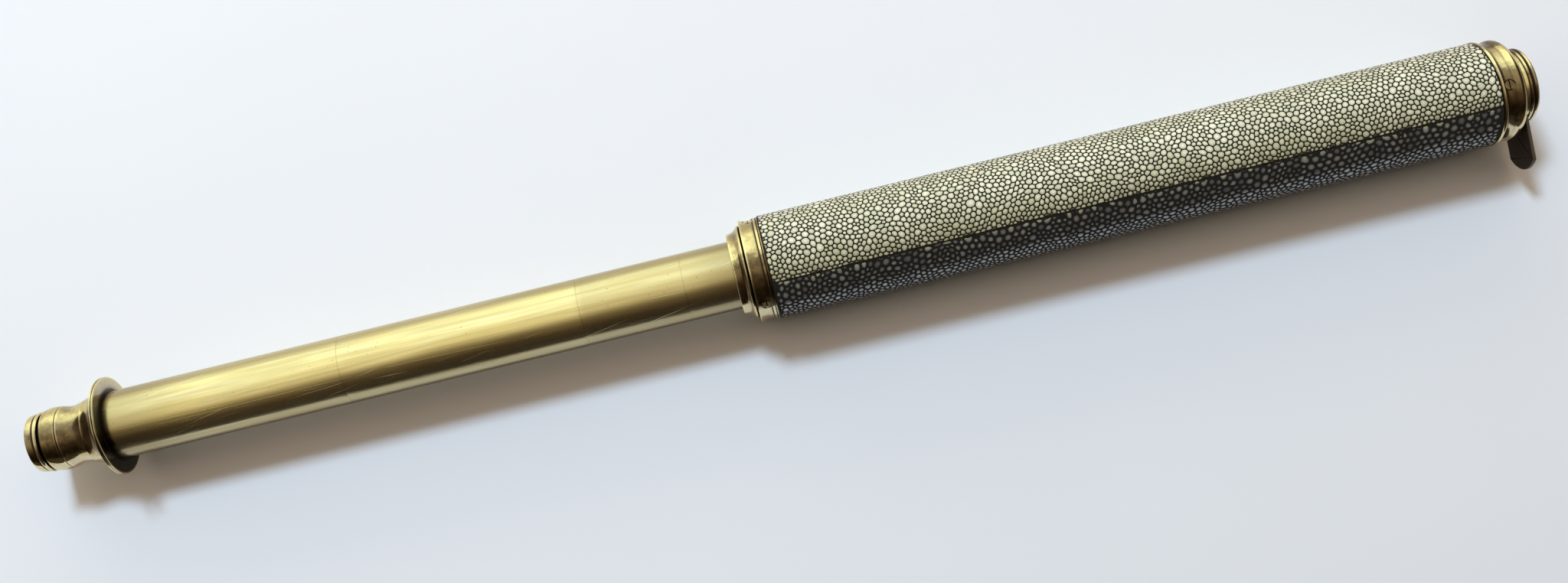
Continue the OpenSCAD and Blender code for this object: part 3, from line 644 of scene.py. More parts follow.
def ray_skin(name):
    """Polished ray skin. bead is 0 in a gap, 0.5 on a bead's edge and 1 in its middle, tone
    differs from bead to bead, and shade is 1 below the seam, where the skin has a dark stain whose
    spread down the near side is painted shade, and where its gaps are wide."""
    sizes = bpy.context.scene.telescope_skin
    made = new_material(name)
    at = made.place()
    bead, tone, shade = made.stored("bead"), made.stored("tone"), made.stored("shade")
    cloud = made.noise(at, 34.0)
    fine = made.noise(at, 1400.0, 3.0, 0.6)
    pale = made.layers(made.mix(made.span(tone, 0.15, 0.85), (0.56, 0.54, 0.33), sizes.bead),
                       (made.span(cloud, 0.4, 0.66, 0.0, 0.5), (0.47, 0.47, 0.24)),
                       (made.span(fine, 0.5, 0.75, 0.0, 0.35), (0.70, 0.71, 0.56)))
    bead_edge = made.mix(0.55, pale, (0.36, 0.35, 0.17))
    pale = made.mix(made.span(bead, 0.55, 0.95), bead_edge, pale)
    # the dark colour below the seam: a stain, whose spread down the near side is painted shade
    stain_and_shade = made.mix(made.span(tone, 0.25, 0.8), (0.13, 0.13, 0.12), (0.34, 0.335, 0.29))
    stain_and_shade = made.mix(made.span(bead, 0.5, 0.9), (0.04, 0.042, 0.044), stain_and_shade)
    low = made.span(shade, 0, 1, 0.40, 0.54, smooth=False)
    solid = made.span(made.plus(bead, made.span(fine, 0.2, 0.8, -0.05, 0.05)),
                      low, made.plus(low, 0.12))
    colour = made.mix(solid, sizes.groove, made.mix(shade, pale, stain_and_shade))
    made.put(made.times(solid, made.span(shade, 0, 1, 0.8, 1.0)), made.shader["Coat Weight"])
    made.put(0.12, made.shader["Coat Roughness"])
    made.put(2.0, made.shader["Coat IOR"])
    return dress(made, colour, made.span(solid, 0, 1, 1.0, 0.3), relief=(fine, 0.00002, 0.5))


def turned_wood(name):
    """Plain brown hardwood with its grain along the tube."""
    made = new_material(name)
    at = made.place()
    grain = made.noise(made.stretched(at, (6, 260, 260)), 1.0, 5.0, 0.6)
    pores = made.noise(made.stretched(at, (60, 1800, 1800)), 1.0, 2.0)
    colour = made.mix(made.span(grain, 0.35, 0.65), (0.32, 0.17, 0.08), (0.17, 0.08, 0.035))
    colour = made.mix(made.span(pores, 0.62, 0.72, 0.0, 0.7), colour, (0.06, 0.03, 0.015))
    return dress(made, colour, made.span(grain, 0.3, 0.7, 0.42, 0.58),
                 relief=(pores, 0.00005, 0.4))


def blued_steel(name):
    """Springy steel with a blue-grey skin and fine lines."""
    made = new_material(name)
    at = made.place()
    lines = made.noise(made.stretched(at, (900, 120, 900)), 1.0)
    cloud = made.noise(at, 300.0, 2.0)
    colour = made.mix(made.span(cloud, 0.35, 0.65), (0.16, 0.18, 0.26), (0.3, 0.3, 0.33))
    return dress(made, colour, made.span(lines, 0.3, 0.7, 0.22, 0.4), 1.0,
                 (lines, 0.00002, 0.4))


def lens_glass(name):
    """Clear lens glass with a trace of dust."""
    made = new_material(name)
    dust = made.noise(made.place(), 700.0, 4.0, 0.7)
    made.put(1.52, made.shader["IOR"])
    made.put(1.0, made.shader["Transmission Weight"])
    return dress(made, made.mix(made.span(dust, 0.55, 0.8), (0.93, 0.97, 0.97), (0.82, 0.85, 0.83)),
                 made.span(dust, 0.5, 0.8, 0.015, 0.09))


# the clock-angle bands given below are painted shade, set piece by piece
FINISHES = {
    "eye mount brass": (turned_brass, dict(
        amount=0.32, roughness=0.07, patina=((-9, 2, 50, 60), (-66, -30, -60, -26)))),
    "objective mount brass": (turned_brass, dict(
        amount=0.4, roughness=0.08, patina=((-16, -2, 48, 58), (-110, -88, -46, -34)))),
    # its face beyond the flange gets a painted reflection and painted shade
    "eyepiece brass": (turned_brass, dict(
        amount=0.42, roughness=0.07, patina=((-30, -6, 46, 56),), grime=(FLANGE - 0.3) * MM)),
    "eye mount screw brass": (turned_brass, dict(
        amount=0.25, roughness=0.16, worn=False, top=0.0219)),
    "objective mount screw brass": (turned_brass, dict(
        amount=0.45, roughness=0.2, worn=False, top=0.0214, patina=((-16, 2, 50, 60),))),
    "housing brass": (turned_brass, dict(amount=0.6, roughness=0.15, worn=False)),
    "screw brass": (turned_brass, dict(amount=0.4, roughness=0.2, worn=False)),
    "inner brass": (turned_brass, dict(amount=0.6, roughness=0.3, worn=False)),
    "draw brass": (drawn_brass, {}),
    "blade brass": (dark_brass, dict(roughness=0.38)),
    "stop black": (dark_brass, dict(roughness=0.6)),
    "ray skin": (ray_skin, {}),
    "wood": (turned_wood, {}),
    "steel": (blued_steel, {}),
    "glass": (lens_glass, {}),
}


@cache
def finish(name):
    """The material of the named finish, built the first time that a piece asks for it."""
    maker, settings = FINISHES[name]
    return maker(name, **settings)


# Skin


def net_of(points):
    """The triangles between scattered points, as an array of corner numbers."""
    made = delaunay_2d_cdt([Vector(p) for p in points.tolist()], [], [], 0, 1e-12, False)
    return np.array(made[2], int)


def scattered(length, girth, pitch, seed):
    """Bead centres on the flat skin, with a margin round it, and their radii. They start on a
    triangular lattice, some are left out by chance, and the rest are moved by chance. Then they
    push and pull on their neighbours until two beads are about as far apart as their two radii
    together: move = 0.16 (distance - r1 - r2) along the line. Beads are larger beside the seam's
    lower side, where across is near the girth."""
    rng = np.random.default_rng(seed)
    pad, base = 3 * pitch, 0.93 * pitch
    nx, ny = int((length + 2 * pad) / base), int((girth + 2 * pad) / (base * 0.866))
    i, j = np.meshgrid(np.arange(nx), np.arange(ny), indexing="ij")
    p = np.stack([(i + 0.5 * (j % 2)) * base, j * 0.866 * base], -1).reshape(-1, 2) - pad
    below = np.clip(1 - (girth - p[:, 1]) / 0.022, 0, 1)
    above = np.clip(1 - p[:, 1] / 0.010, 0, 1)
    local = 1 + 0.3 * below - 0.08 * above
    kept = rng.random(len(p)) < (0.93 / local) ** 2
    p, local = p[kept], local[kept]
    p = p + rng.normal(0, 0.22 * pitch, p.shape)
    large = rng.random(len(p)) < 0.45
    r = np.where(large, rng.normal(0.59, 0.04, len(p)), rng.normal(0.40, 0.06, len(p)))
    r = r * pitch * local
    for _ in range(8):
        tri = net_of(p)
        edges = np.unique(np.sort(np.concatenate([tri[:, [0, 1]], tri[:, [1, 2]], tri[:, [2, 0]]]),
                                  axis=1), axis=0)
        a, b = edges.T
        for _ in range(7):
            d = p[b] - p[a]
            gap = np.linalg.norm(d, axis=1, keepdims=True)
            push = 0.16 * np.clip(gap - (r[a] + r[b])[:, None], -pitch, 0.35 * pitch) * d / gap
            move = np.zeros_like(p)
            np.add.at(move, a, push)
            np.add.at(move, b, -push)
            p = p + np.clip(move, -0.2 * pitch, 0.2 * pitch)
    return p, r


def bead_sheet(length, girth, sizes):
    """The flat skin as points (along, across, height), quads, a bead value and a tone per point.
    The bead value is 0 in a gap, 0.5 on a bead's edge and 1 in its middle.

    Each triangle of the net has its incentre, (|bc| A + |ca| B + |ab| C) / (|bc| + |ca| + |ab|),
    and a bead is the polygon of the incentres round its own centre. Each third of a triangle is a
    kite: bead centre, middle of one side, incentre, middle of the next side. The bead's edge lies
    inside the kite, one gap from a side and 1.5 gaps from an incentre, so its corners are round.
    """
    p, radius = scattered(length, girth, sizes.pitch, sizes.seed)
    tri = net_of(p)
    corner = p[tri]
    side = np.linalg.norm(np.roll(corner, -1, 1) - np.roll(corner, 1, 1), axis=2)
    centre = (corner * side[:, :, None]).sum(1) / side.sum(1)[:, None]

    ends = np.sort(np.stack([tri, np.roll(tri, -1, 1)], -1), axis=2).reshape(-1, 2)
    edges, edge_of = np.unique(ends, axis=0, return_inverse=True)
    edge_of = edge_of.reshape(-1, 3)
    shared = np.bincount(edge_of.ravel(), minlength=len(edges))
    middle = np.zeros((len(edges), 2))
    np.add.at(middle, edge_of.ravel(), np.repeat(centre, 3, axis=0))
    middle /= shared[:, None]

    bead, third = tri.ravel(), np.repeat(np.arange(len(tri)), 3)
    ahead, behind = edge_of.ravel(), np.roll(edge_of, 1, 1).ravel()
    inside = ((p > -sizes.pitch) & (p < np.array([length, girth]) + sizes.pitch)).all(1)
    use_kite = inside[bead]
    bead, third, ahead, behind = (v[use_kite] for v in (bead, third, ahead, behind))

    def inset(towards, share):
        """Points on the way from a bead's centre, stopped share gaps before the end."""
        way = towards - p[bead]
        far = np.linalg.norm(way, axis=1, keepdims=True)
        return p[bead] + way * np.clip(1 - share * sizes.gap / far, 0.5, 0.95)

    pairs, pair_of = np.unique(np.stack([np.r_[bead, bead], np.r_[ahead, behind]], -1), axis=0,
                               return_inverse=True)
    pair_of = pair_of.ravel()
    edge_points = np.zeros((len(pairs), 2))
    edge_points[pair_of[:len(bead)]] = inset(middle[ahead], 1.0)
    edge_points[pair_of[len(bead):]] = inset(middle[behind], 1.0)
    corners = inset(centre[third], 1.5)

    n_p, n_m, n_c, n_e = len(p), len(middle), len(centre), len(edge_points)
    m0, c0 = n_p, n_p + n_m
    e0, k0 = c0 + n_c, c0 + n_c + n_e
    first, last = e0 + pair_of[:len(bead)], e0 + pair_of[len(bead):]
    kite = k0 + np.arange(len(bead))
    faces = np.concatenate([
        np.stack([bead, first, kite, last], -1),
        np.stack([first, m0 + ahead, c0 + third, kite], -1),
        np.stack([kite, c0 + third, m0 + behind, last], -1)])
    flat = np.concatenate([p, middle, centre, edge_points, corners])
    count = [n_p, n_m, n_c, n_e, len(corners)]
    height = np.repeat([0.0, -sizes.depth, -sizes.depth * 1.15, -sizes.crown, -sizes.crown * 1.4],
                       count)
    solid = np.repeat([1.0, 0.0, 0.0, 0.5, 0.5], count)
    tones = np.random.default_rng(sizes.seed + 1).random(n_p)
    tones = 0.75 * tones + 0.25 * np.clip((radius / sizes.pitch - 0.3) / 0.4, 0, 1)
    tone = np.concatenate([tones, np.full(n_m, 0.5), np.full(n_c, 0.5), tones[pairs[:, 0]],
                           tones[bead]])
    return flat, height, faces, solid, tone, bead


def bend_skin(co, girth, sizes):
    """Wraps (along, across, height) points round the barrel: the clock angle falls from the seam as
    across grows."""
    angle = sizes.seam - co[:, 1] / girth * TAU
    r = SKIN_R + co[:, 2]
    return np.stack([SKIN_LOW.x + co[:, 0], -r * np.sin(angle), r * np.cos(angle)], -1)


def make_skin():
    """Two lengths of beaded skin that meet along the gaps between beads, half way."""
    sizes = bpy.context.scene.telescope_skin
    length, girth = SKIN_HIGH.x - SKIN_LOW.x, TAU * SKIN_R
    flat, height, faces, solid, tone, bead = bead_sheet(length, girth, sizes)
    half = flat[np.tile(bead, 3)][:, 0] > length / 2
    for name, chosen in (("skin_eye_half", ~half), ("skin_objective_half", half)):
        used, numbered = np.unique(faces[chosen], return_inverse=True)
        piece = build_mesh(name, np.column_stack([flat[used], height[used]]),
                           numbered.reshape(-1, 4).tolist())
        mesh = piece.data
        set_values(mesh, "bead", solid[used])
        set_values(mesh, "tone", tone[used])
        trim_sheet(mesh, length, girth, sizes.seam_width / 2)
        co = np.zeros(len(mesh.vertices) * 3)
        mesh.vertices.foreach_get("co", co)
        co = co.reshape(-1, 3)
        tones, beads = values_of(mesh, "tone"), values_of(mesh, "bead")
        set_values(mesh, "bead", beads * unblackened_of(co, length, girth))
        set_values(mesh, "shade", stain_and_shade_of(co, tones, length, girth))
        mesh.vertices.foreach_set("co", bend_skin(co, girth, sizes).ravel())
        mesh.update()
        shade_smooth(mesh, SHARP_BEAD)
        finish_piece(piece, "barrel", "shagreen", "ray skin", "shagreen_skin")


def trim_sheet(mesh, length, girth, seam):
    """Cuts the flat sheet along its four sides, cutting through the beads there, and turns its
    whole edge down to just clear of the tube, where it is closed underneath. The walls are built
    one by one, because an extrusion doesn't give them in the same order each time."""
    clear = 0.00002
    work = bmesh.new()
    work.from_mesh(mesh)
    sides = (((0, 0, 0), (-1, 0, 0)), ((length, 0, 0), (1, 0, 0)),
             ((0, seam, 0), (0, -1, 0)), ((0, girth - seam, 0), (0, 1, 0)))
    for point, outwards in sides:
        bmesh.ops.bisect_plane(work, geom=work.verts[:] + work.edges[:] + work.faces[:],
                               dist=1e-7, plane_co=point, plane_no=outwards, clear_outer=True)
    rim = [e.link_loops[0] for e in work.edges if e.is_boundary]
    rim = [(part.vert, part.link_loop_next.vert) for part in rim]
    below = {v: work.verts.new((*v.co.xy, TUBE_R - SKIN_R + clear), v) for v, _ in rim}
    for v, following in rim:
        work.faces.new((following, v, below[v], below[following]))
    close_below(work)
    bmesh.ops.recalc_face_normals(work, faces=work.faces)
    work.to_mesh(mesh)
    work.free()


def close_below(work):
    """Fills the sheet's lower rim with the triangles between it and a coarse grid inside it, whose
    rows are close enough to follow the tube when the sheet is bent."""
    columns, rows, inset, row_gap = 8, 96, 6 * MM, 1.5 * MM
    after = {part.vert: part.link_loop_next.vert
             for e in work.edges if e.is_boundary for part in e.link_loops}
    corners = [next(iter(after))]
    while after[corners[-1]] != corners[0]:
        corners.append(after[corners[-1]])
    rim = list(range(len(corners)))
    outline = np.array([v.co[:2] for v in corners])
    low, high = outline.min(0), outline.max(0)
    along = np.linspace(low[0] + inset, high[0] - inset, columns)
    across = np.linspace(low[1] + row_gap, high[1] - row_gap, rows)
    grid = np.stack(np.meshgrid(along, across, indexing="ij"), -1).reshape(-1, 2)
    made = delaunay_2d_cdt([Vector(v) for v in np.concatenate([outline, grid]).tolist()],
                           [], [rim], 0, 1e-9, True)
    corners += [work.verts.new((*v, corners[0].co.z)) for v in grid.tolist()]
    for face, inside in zip(made[2], made[5]):
        if inside:
            work.faces.new([corners[made[3][i][0]] for i in face])


def stain_and_shade_of(flat, tones, length, girth):
    """The dark colour below the seam, a dark stain whose spread down the near side is painted
    shade: 1 from the seam down to the barrel's lower side, falling smoothly to 0 over the next
    20 mm. The skin above the seam darkens a little within 5 mm of it, more towards the objective,
    and some beads that the knife cut along the seam get a pale edge, a painted highlight where the
    cut edge catches the light, where the dark is taken away again."""
    below = (girth - flat[:, 1]) / MM
    above = flat[:, 1] / MM
    # a dark stain along the seam, spread down the near side as painted shade
    strength = np.clip(1 - (below - 27) / 20, 0, 1)
    strength = strength * strength * (3 - 2 * strength)
    # a pale edge on some beads cut along the seam: a painted highlight where the cut edge catches
    # the light
    cut = np.exp(-((below - 0.7) / 0.6) ** 2) * np.clip((tones - 0.52) / 0.1, 0, 1)
    trace = 0.3 * np.clip(1 - above / 5, 0, 1) ** 1.5 * (0.4 + 0.6 * flat[:, 0] / length)
    return np.clip(np.maximum(strength * (1 - 0.92 * cut), trace), 0, 1).astype(np.float32)


def unblackened_of(flat, length, girth):
    """How far the skin is from its black borders, from 0 to 1. It is black along the seam's two
    edges, to about 0.3 mm from its middle, and along both ends, 0.2 mm wide on top and up to 1 mm
    wide below the seam."""
    seam = np.minimum(flat[:, 1], girth - flat[:, 1]) / MM
    end = np.minimum(flat[:, 0], length - flat[:, 0]) / MM
    below = np.clip((girth - flat[:, 1]) / MM / 30, 0, 1)
    reach = 0.2 + 0.8 * np.clip(1.6 - 1.6 * below, 0, 1)
    unblackened = np.clip((seam - 0.22) / 0.12, 0, 1) * np.clip((end - reach + 0.15) / 0.3, 0, 1)
    return unblackened.astype(np.float32)


# Brass


def screw_places(x, r, first):
    """Matrices that put a screw's Z axis outwards at three clock angles."""
    return [clock_matrix(first + 120 * i) @ Matrix.Translation((x * MM, 0, r * MM))
            for i in range(3)]


def make_eye_mount():
    """Fillets beside the skin, a hollow moulding up to a sharp rim, a small bead, and a hollow
    down to the lip round the draw tube."""
    s, r = EYE_END, BARREL_R
    rim, lip, bead = s - 8.5, s - 15.0, s - 9.65
    lip_bore, lip_r, chamber = 15.3, 18.15, 16.43
    outline = np.vstack([
        [[s, SOCKET_R], [s, r - 0.5], [s - 0.8, r - 0.5], [s - 1.0, r - 0.85], [s - 1.2, r - 0.5],
         [s - 2.2, r - 0.5]],
        sweep((s - 2.5, r - 0.8), (s - 5, r - 1.75), (rim + 0.3, r - 0.1)),
        [[rim, r - 0.1], [rim - 0.15, r - 3]],
        arc((bead, r - 3), 0.75, 20, 180, 12),
        sweep((bead - 0.95, r - 3.1), (bead - 1.95, lip_r + 0.2), (lip + 0.6, lip_r)),
        [[lip + 0.2, lip_r], [lip, lip_r - 0.2], [lip, lip_bore], [lip + 1, lip_bore],
         [lip + 1, chamber], [s - 7.5, chamber], [s - 7.5, SOCKET_R]]])
    piece = turned("eye_mount_brass", outline, 0.45,
                   soil=[(s, r - 0.5, 0.7), (s - 1.0, r - 0.85, 0.4), (s - 2.4, r - 0.7, 0.4),
                         (rim - 0.1, r - 2.4, 1.0), (lip, 15.4, 1.2)])
    bore_holes(piece, screw_places(s - 4.4, r - 1.1, 60), SCREW_HOLE)
    finish_piece(piece, "barrel", "turned_brass", "eye mount brass", "eye_mount")


def make_objective_mount():
    """A bead beside the skin, a cove and one large round moulding."""
    s, r = OBJECTIVE_END, BARREL_R
    end = s + 12.4
    bead = (s + 1.2, r - 0.9)
    torus, torus_r, meets = np.array([end - 4, r - 4.1]), 3.4, math.radians(125)
    left = torus + torus_r * np.array([math.cos(meets), math.sin(meets)])
    cove = s + 2.4
    outline = np.vstack([
        [[s, SOCKET_R], [s, bead[1]]],
        arc(bead, 1.0, 180, 0, 20),
        sweep((cove, left[1] + 0.1), ((cove + left[0]) / 2, left[1] - 0.5), left),
        arc(torus, torus_r, 120, 18, 30),
        [[end - 0.3, 18.7], [end, 18.2], [end, 16], [s + 8, 16], [s + 8, SOCKET_R]]])
    piece = turned("objective_mount_brass", outline, 0.45,
                   soil=[(s, bead[1], 0.9), (s + 2.3, bead[1], 0.8), (end, 17.6, 1.3)])
    bore_holes(piece, screw_places(s + 4.6, r - 1.6, 12), SCREW_HOLE)
    finish_piece(piece, "barrel", "turned_brass", "objective mount brass", "objective_mount")


def make_front_ring():
    """Two beads round the outside, a raised rim and a plate with a bevelled mouth."""
    x, r, depth, plate = FRONT_RING, 16.5, 4.05, FRONT_RING + 1.75
    end, bead = x + depth, depth / 4
    outline = np.vstack([
        [[x, 9.2], [plate, 9.8], [plate, r - 1.3], [end, r - 1.1], [end, r - 0.5]],
        arc((end - bead, r - 0.1 - bead), bead, 40, 140, 14),
        arc((x + bead + 0.1, r - bead), bead, 40, 140, 14),
        [[x, r - 0.5]]])
    piece = turned("front_ring_brass", outline, 0.45,
                   soil=[(x, r - 0.5, 0.8), (x + 2.1, r - 0.7, 0.6), (plate, r - 1.3, 1.2)])
    place = clock_matrix(BLADE_CLOCK)
    holes = [place @ Matrix.Translation((plate * MM, side * 13.1 * MM, 0))
             @ Matrix.Rotation(math.pi / 2, 4, "Y") for side in (-1, 1)]
    bore_holes(piece, holes, SMALL_SCREW_HOLE, 32)
    finish_piece(piece, "barrel", "turned_brass", "objective mount brass", "front_ring")


def make_draw_tube():
    """A plain tube. Its outside has three hair-fine rings turned into it."""
    x0, x1, r, bore = FLANGE, -124.0, 15.0, 14.4
    rings = [[[x + 0.45, r], [x, r - 0.1], [x - 0.45, r]] for x in RING_PLACES]
    outline = np.vstack([[[x0, bore], [x1, bore], [x1, r]], *rings, [[x0, r]]])
    piece = turned("draw_tube_brass", outline, 3.0, soil=[(x0, r, 2.6)])
    finish_piece(piece, "draw", "draw_brass", "draw brass", "draw_tube")


def make_eyepiece():
    """Flange and flare, rounded head with its neck, and the beaded eye cap."""
    f, fr, ridge = FLANGE, 21.7, 0.8
    flare, mid, waist, joint = f - 1.9, f - 9.6, f - 16.3, f - 21.4
    body = np.vstack([
        [[f, 14.37], [f, 15.7], [f - 0.1, fr - 0.4], [f - 0.3, fr], [f - ridge, fr],
         [f - 0.95, fr - 0.35], [flare + ridge, fr], [flare + 0.2, fr], [flare, fr - 0.4]],
        sweep((flare - 0.2, 19.7), (flare - 1.7, 16.2), (mid, 14.4), 24),
        sweep((mid - 0.1, 14.4), (mid - 4.7, 12.8), (waist, 12.8), 14),
        sweep((waist - 0.4, 12.8), (waist - 2, 12.8), (joint + 0.3, 13.7), 12),
        [[joint, 13.5], [joint, 11.03], [joint + 8, 11.03], [joint + 8, 10.4], [f - 4.4, 10.4],
         [f - 4.4, 13.23], [f + 8, 13.23], [f + 8, 14.37]]])
    piece = turned("eyepiece_body_brass", body,
                   soil=[(f, 15.0, 2.2), (f - 0.95, fr - 0.35, 0.45), (joint, 13.6, 0.3),
                         (flare - 1.0, 17.6, 1.6)])
    finish_piece(piece, "draw", "turned_brass", "eyepiece brass", "eyepiece_body")

    neck, head_r = joint - 7, 14.05
    neck_end = neck - 5.1
    head = np.vstack([
        [[joint + 7, 9.4], [joint + 7, 11], [joint, 11], [joint, 13.5], [joint - 0.3, 13.7]],
        sweep((joint - 0.6, 13.7), (joint - 3.5, 2 * head_r - 13.7), (neck + 0.2, head_r - 0.5),
              20),
        [[neck, head_r - 0.8], [neck, 11], [neck_end, 11], [neck_end, 7.3], [neck_end + 2.4, 7.3],
         [neck_end + 2.4, 8.53], [joint - 1, 8.53], [joint - 1, 9.4]]])
    piece = turned("eyepiece_head_brass", head, 0.5,
                   soil=[(joint, 13.6, 0.3), (neck, 11.6, 1.6), (neck - 1.2, 11.0, 2.0)])
    finish_piece(piece, "draw", "turned_brass", "eyepiece brass", "eyepiece_head")

    cap, end = neck - 1.5, neck - 6.8
    eye_cap = np.vstack([
        [[cap, 11.03], [cap, 12.75]],
        arc((cap - 0.9, 12.35), 0.9, 60, 150, 14),
        [[cap - 1.8, 12.5], [cap - 2.2, 12.75]],
        sweep((cap - 2.6, 12.85), (end + 1, 12.9), (end + 0.3, 12.6), 10),
        [[end, 12.2], [end, 10.2], [end + 1, 3.5], [neck_end, 3.5], [neck_end, 11.03]]])
    piece = turned("eye_cap_brass", eye_cap, 0.5,
                   soil=[(cap, 11.6, 1.2), (cap - 1.8, 12.5, 0.5), (end, 10.0, 1.5)])
    finish_piece(piece, "draw", "turned_brass", "eyepiece brass", "eye_cap")


def make_blade():
    """The blade's outline (across, outwards) is straight-sided with a round tip and an ear on each
    side at its root. It is carried through its thickness with the edge drawn in at both faces, and
    the face towards the eyepiece has a wide shallow bevel. Both faces close on the outline."""
    half, ear, root, reach, tip_r, thick = 10.15, 0.75, 9.5, 36.6, 13.5, 1.6
    spread = math.degrees(math.asin(half / tip_r))
    tip = arc((0, reach - tip_r), tip_r, 90 - spread, 90 + spread, 40)
    outline = np.vstack([[[half + ear, root], [half + ear, root + 1.5], [half, root + 1.5]], tip,
                         [[-half, root + 1.5], [-half - ear, root + 1.5], [-half - ear, root]]])
    p = divided(rounded(outline, 0.25), 1.2)
    ahead = np.roll(p, -1, 0) - np.roll(p, 1, 0)
    inwards = np.stack([-ahead[:, 1], ahead[:, 0]], -1) / np.linalg.norm(ahead, axis=1)[:, None]
    # each level: how far the edge is drawn in, its place in the thickness, and its wear
    levels = [(1.1, 0.0, 0.5), (0.22, 0.1, 0.72), (0.0, 0.32, 0.9), (0.0, thick - 0.2, 0.9),
              (0.2, thick, 0.75)]
    co = np.vstack([np.column_stack([np.full(len(p), BLADE + x), p + inwards * cut])
                    for cut, x, _ in levels])
    # across runs along -Y and outwards along +Z, then both turn to the blade's clock angle
    co = np.column_stack([co[:, 0], -co[:, 1], co[:, 2]]) * MM
    sides, ends = ring_faces(len(levels), len(p))
    piece = build_mesh("shutter_blade_brass", co, sides + ends)
    mesh = piece.data
    mesh.transform(clock_matrix(BLADE_CLOCK))
    work = bmesh.new()
    work.from_mesh(mesh)
    bmesh.ops.recalc_face_normals(work, faces=work.faces)
    work.to_mesh(mesh)
    work.free()
    shade_smooth(mesh, SHARP_BLADE)
    set_values(mesh, "wear", np.repeat([wear for _, _, wear in levels], len(p)))
    finish_piece(piece, "shutter", "dark_brass", "blade brass", "shutter_blade")


INNER_FINISHES = {
    "wood": ["barrel_tube"],
    "steel": ["shutter_spring"],
    "eye mount screw brass": ["eye_mount_screws"],
    "objective mount screw brass": ["objective_mount_screws"],
    "screw brass": ["front_ring_screws"],
    "housing brass": ["shutter_housing"],
    "stop black": ["field_stop", "erector_stop"],
    "glass": ["crown_lens", "flint_lens", "eye_lens", "field_lens", "erector_front_lens",
              "erector_rear_lens"],
    "inner brass": ["draw_sleeve", "objective_cell", "objective_ring", "draw_stop_ring",
                    "eye_lens_ring", "field_tube", "field_lens_ring", "erector_tube",
                    "erector_front_cell", "erector_front_ring", "erector_rear_cell",
                    "erector_rear_ring"],
}


def dress_inner():
    """Finishes for the pieces that keep the shape of their solids."""
    for name, nodes in INNER_FINISHES.items():
        for node in nodes:
            paint(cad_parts[node], name)


# Stage


def make_stage():
    """The floor, the room, two lamps, a dark card, four panels that only gloss sees, and the
    camera."""
    look = bpy.context.scene.telescope_stage
    make_floor(look)
    make_room(look)
    aim = Vector((-0.155, 0.0, 0.0))
    add_lamp("sky_light", aim + 3.0 * Vector((-0.163, 0.495, 0.853)), aim, (0.68, 0.47), look.key,
             look.sky)
    add_lamp("window", Vector((-0.75, 2.87, 1.30)), aim, (3.6, 0.8), look.window,
             (1.0, 0.94, 0.82))
    add_card("dark_card", (-0.24, 0.97), (-0.95, FLOOR_Z + 0.001), 4.4)
    make_panels()
    make_camera()


def make_floor(look):
    """A square of pale floor, 8 m wide, with faint clouds."""
    size = 4.0
    corners = [(-size, -size), (size, -size), (size, size), (-size, size)]
    floor = build_mesh("floor", [(x, y, FLOOR_Z) for x, y in corners], [(0, 1, 2, 3)])
    made = new_material("floor")
    cloud = made.noise(made.place(), 9.0)
    colour = made.mix(made.span(cloud, 0.3, 0.7, 0.0, 0.25), look.floor,
                      [c * 0.97 for c in look.floor])
    made.put(0.1, made.shader["Specular IOR Level"])
    floor.data.materials.append(dress(made, colour, 0.9))


def make_room(look):
    """Warm light from all round, which the camera, gloss and glass see as a pale room."""
    world = bpy.data.worlds.new("room")
    world.use_nodes = True
    made = Nodes(world.node_tree)
    seen = made.add("ShaderNodeLightPath").outputs
    open_view = made.most(seen["Is Camera Ray"],
                          made.most(seen["Is Glossy Ray"], seen["Is Transmission Ray"]))
    back = world.node_tree.nodes["Background"].inputs
    made.put(made.mix(open_view, look.room, (0.86, 0.91, 0.95)), back["Color"])
    made.put(1.0, back["Strength"])
    bpy.context.scene.world = world


def add_lamp(name, place, aim, size, power, colour):
    """A rectangular lamp that faces aim and isn't mirrored in the brass."""
    data = bpy.data.lights.new(name, "AREA")
    data.shape = "RECTANGLE"
    data.size, data.size_y = size
    data.energy, data.color = power, colour
    lamp = placed(name, data)
    lamp.location = place
    lamp.rotation_mode = "QUATERNION"
    lamp.rotation_quaternion = (aim - place).to_track_quat("-Z", "Y")
    lamp.visible_glossy = False


def add_card(name, top, bottom, width):
    """A dark card on the viewer's side, which keeps light off the near side of the telescope and
    isn't seen. Its upper and lower edges lie at the given (y, z) places."""
    middle = -0.15
    co = [(x, y, z) for (y, z), side in ((top, 1), (bottom, -1))
          for x in (middle - side * width / 2, middle + side * width / 2)]
    card = build_mesh(name, co, [(0, 1, 2, 3)])
    card.data.materials.append(dress(new_material(name), (0.07, 0.05, 0.038), 1.0))
    card.visible_camera = card.visible_glossy = False


def add_panel(name, rows, stops):
    """A sheet of the dim room that only the gloss reflects. Each row gives its place from 0 to 1 in
    the run of colours and its two end points."""
    co = [corner for _, *ends in rows for corner in ends]
    first = range(len(rows) - 1)
    uv = [(side, rows[k][0]) for a in first
          for side, k in ((0, a), (1, a), (1, a + 1), (0, a + 1))]
    panel = build_mesh(name, co, [(2 * k, 2 * k + 1, 2 * k + 3, 2 * k + 2) for k in first], uv)
    made = new_material(name)
    ramp = made.add("ShaderNodeValToRGB", inputs={0: made.parts(made.place("UV"))[1]})
    colours = ramp.color_ramp.elements
    for k, (position, colour) in enumerate(stops):
        stop = colours[k] if k < 2 else colours.new(position)
        stop.position, stop.color = position, (*colour, 1)
    made.put((0, 0, 0), made.shader["Base Color"])
    made.put(0.0, made.shader["Specular IOR Level"])
    made.put(ramp.outputs[0], made.shader["Emission Color"])
    made.put(1.0, made.shader["Emission Strength"])
    made.material.cycles.emission_sampling = "NONE"
    panel.data.materials.append(made.material)
    panel.visible_camera = panel.visible_diffuse = panel.visible_shadow = False
    panel.visible_transmission = panel.visible_volume_scatter = False


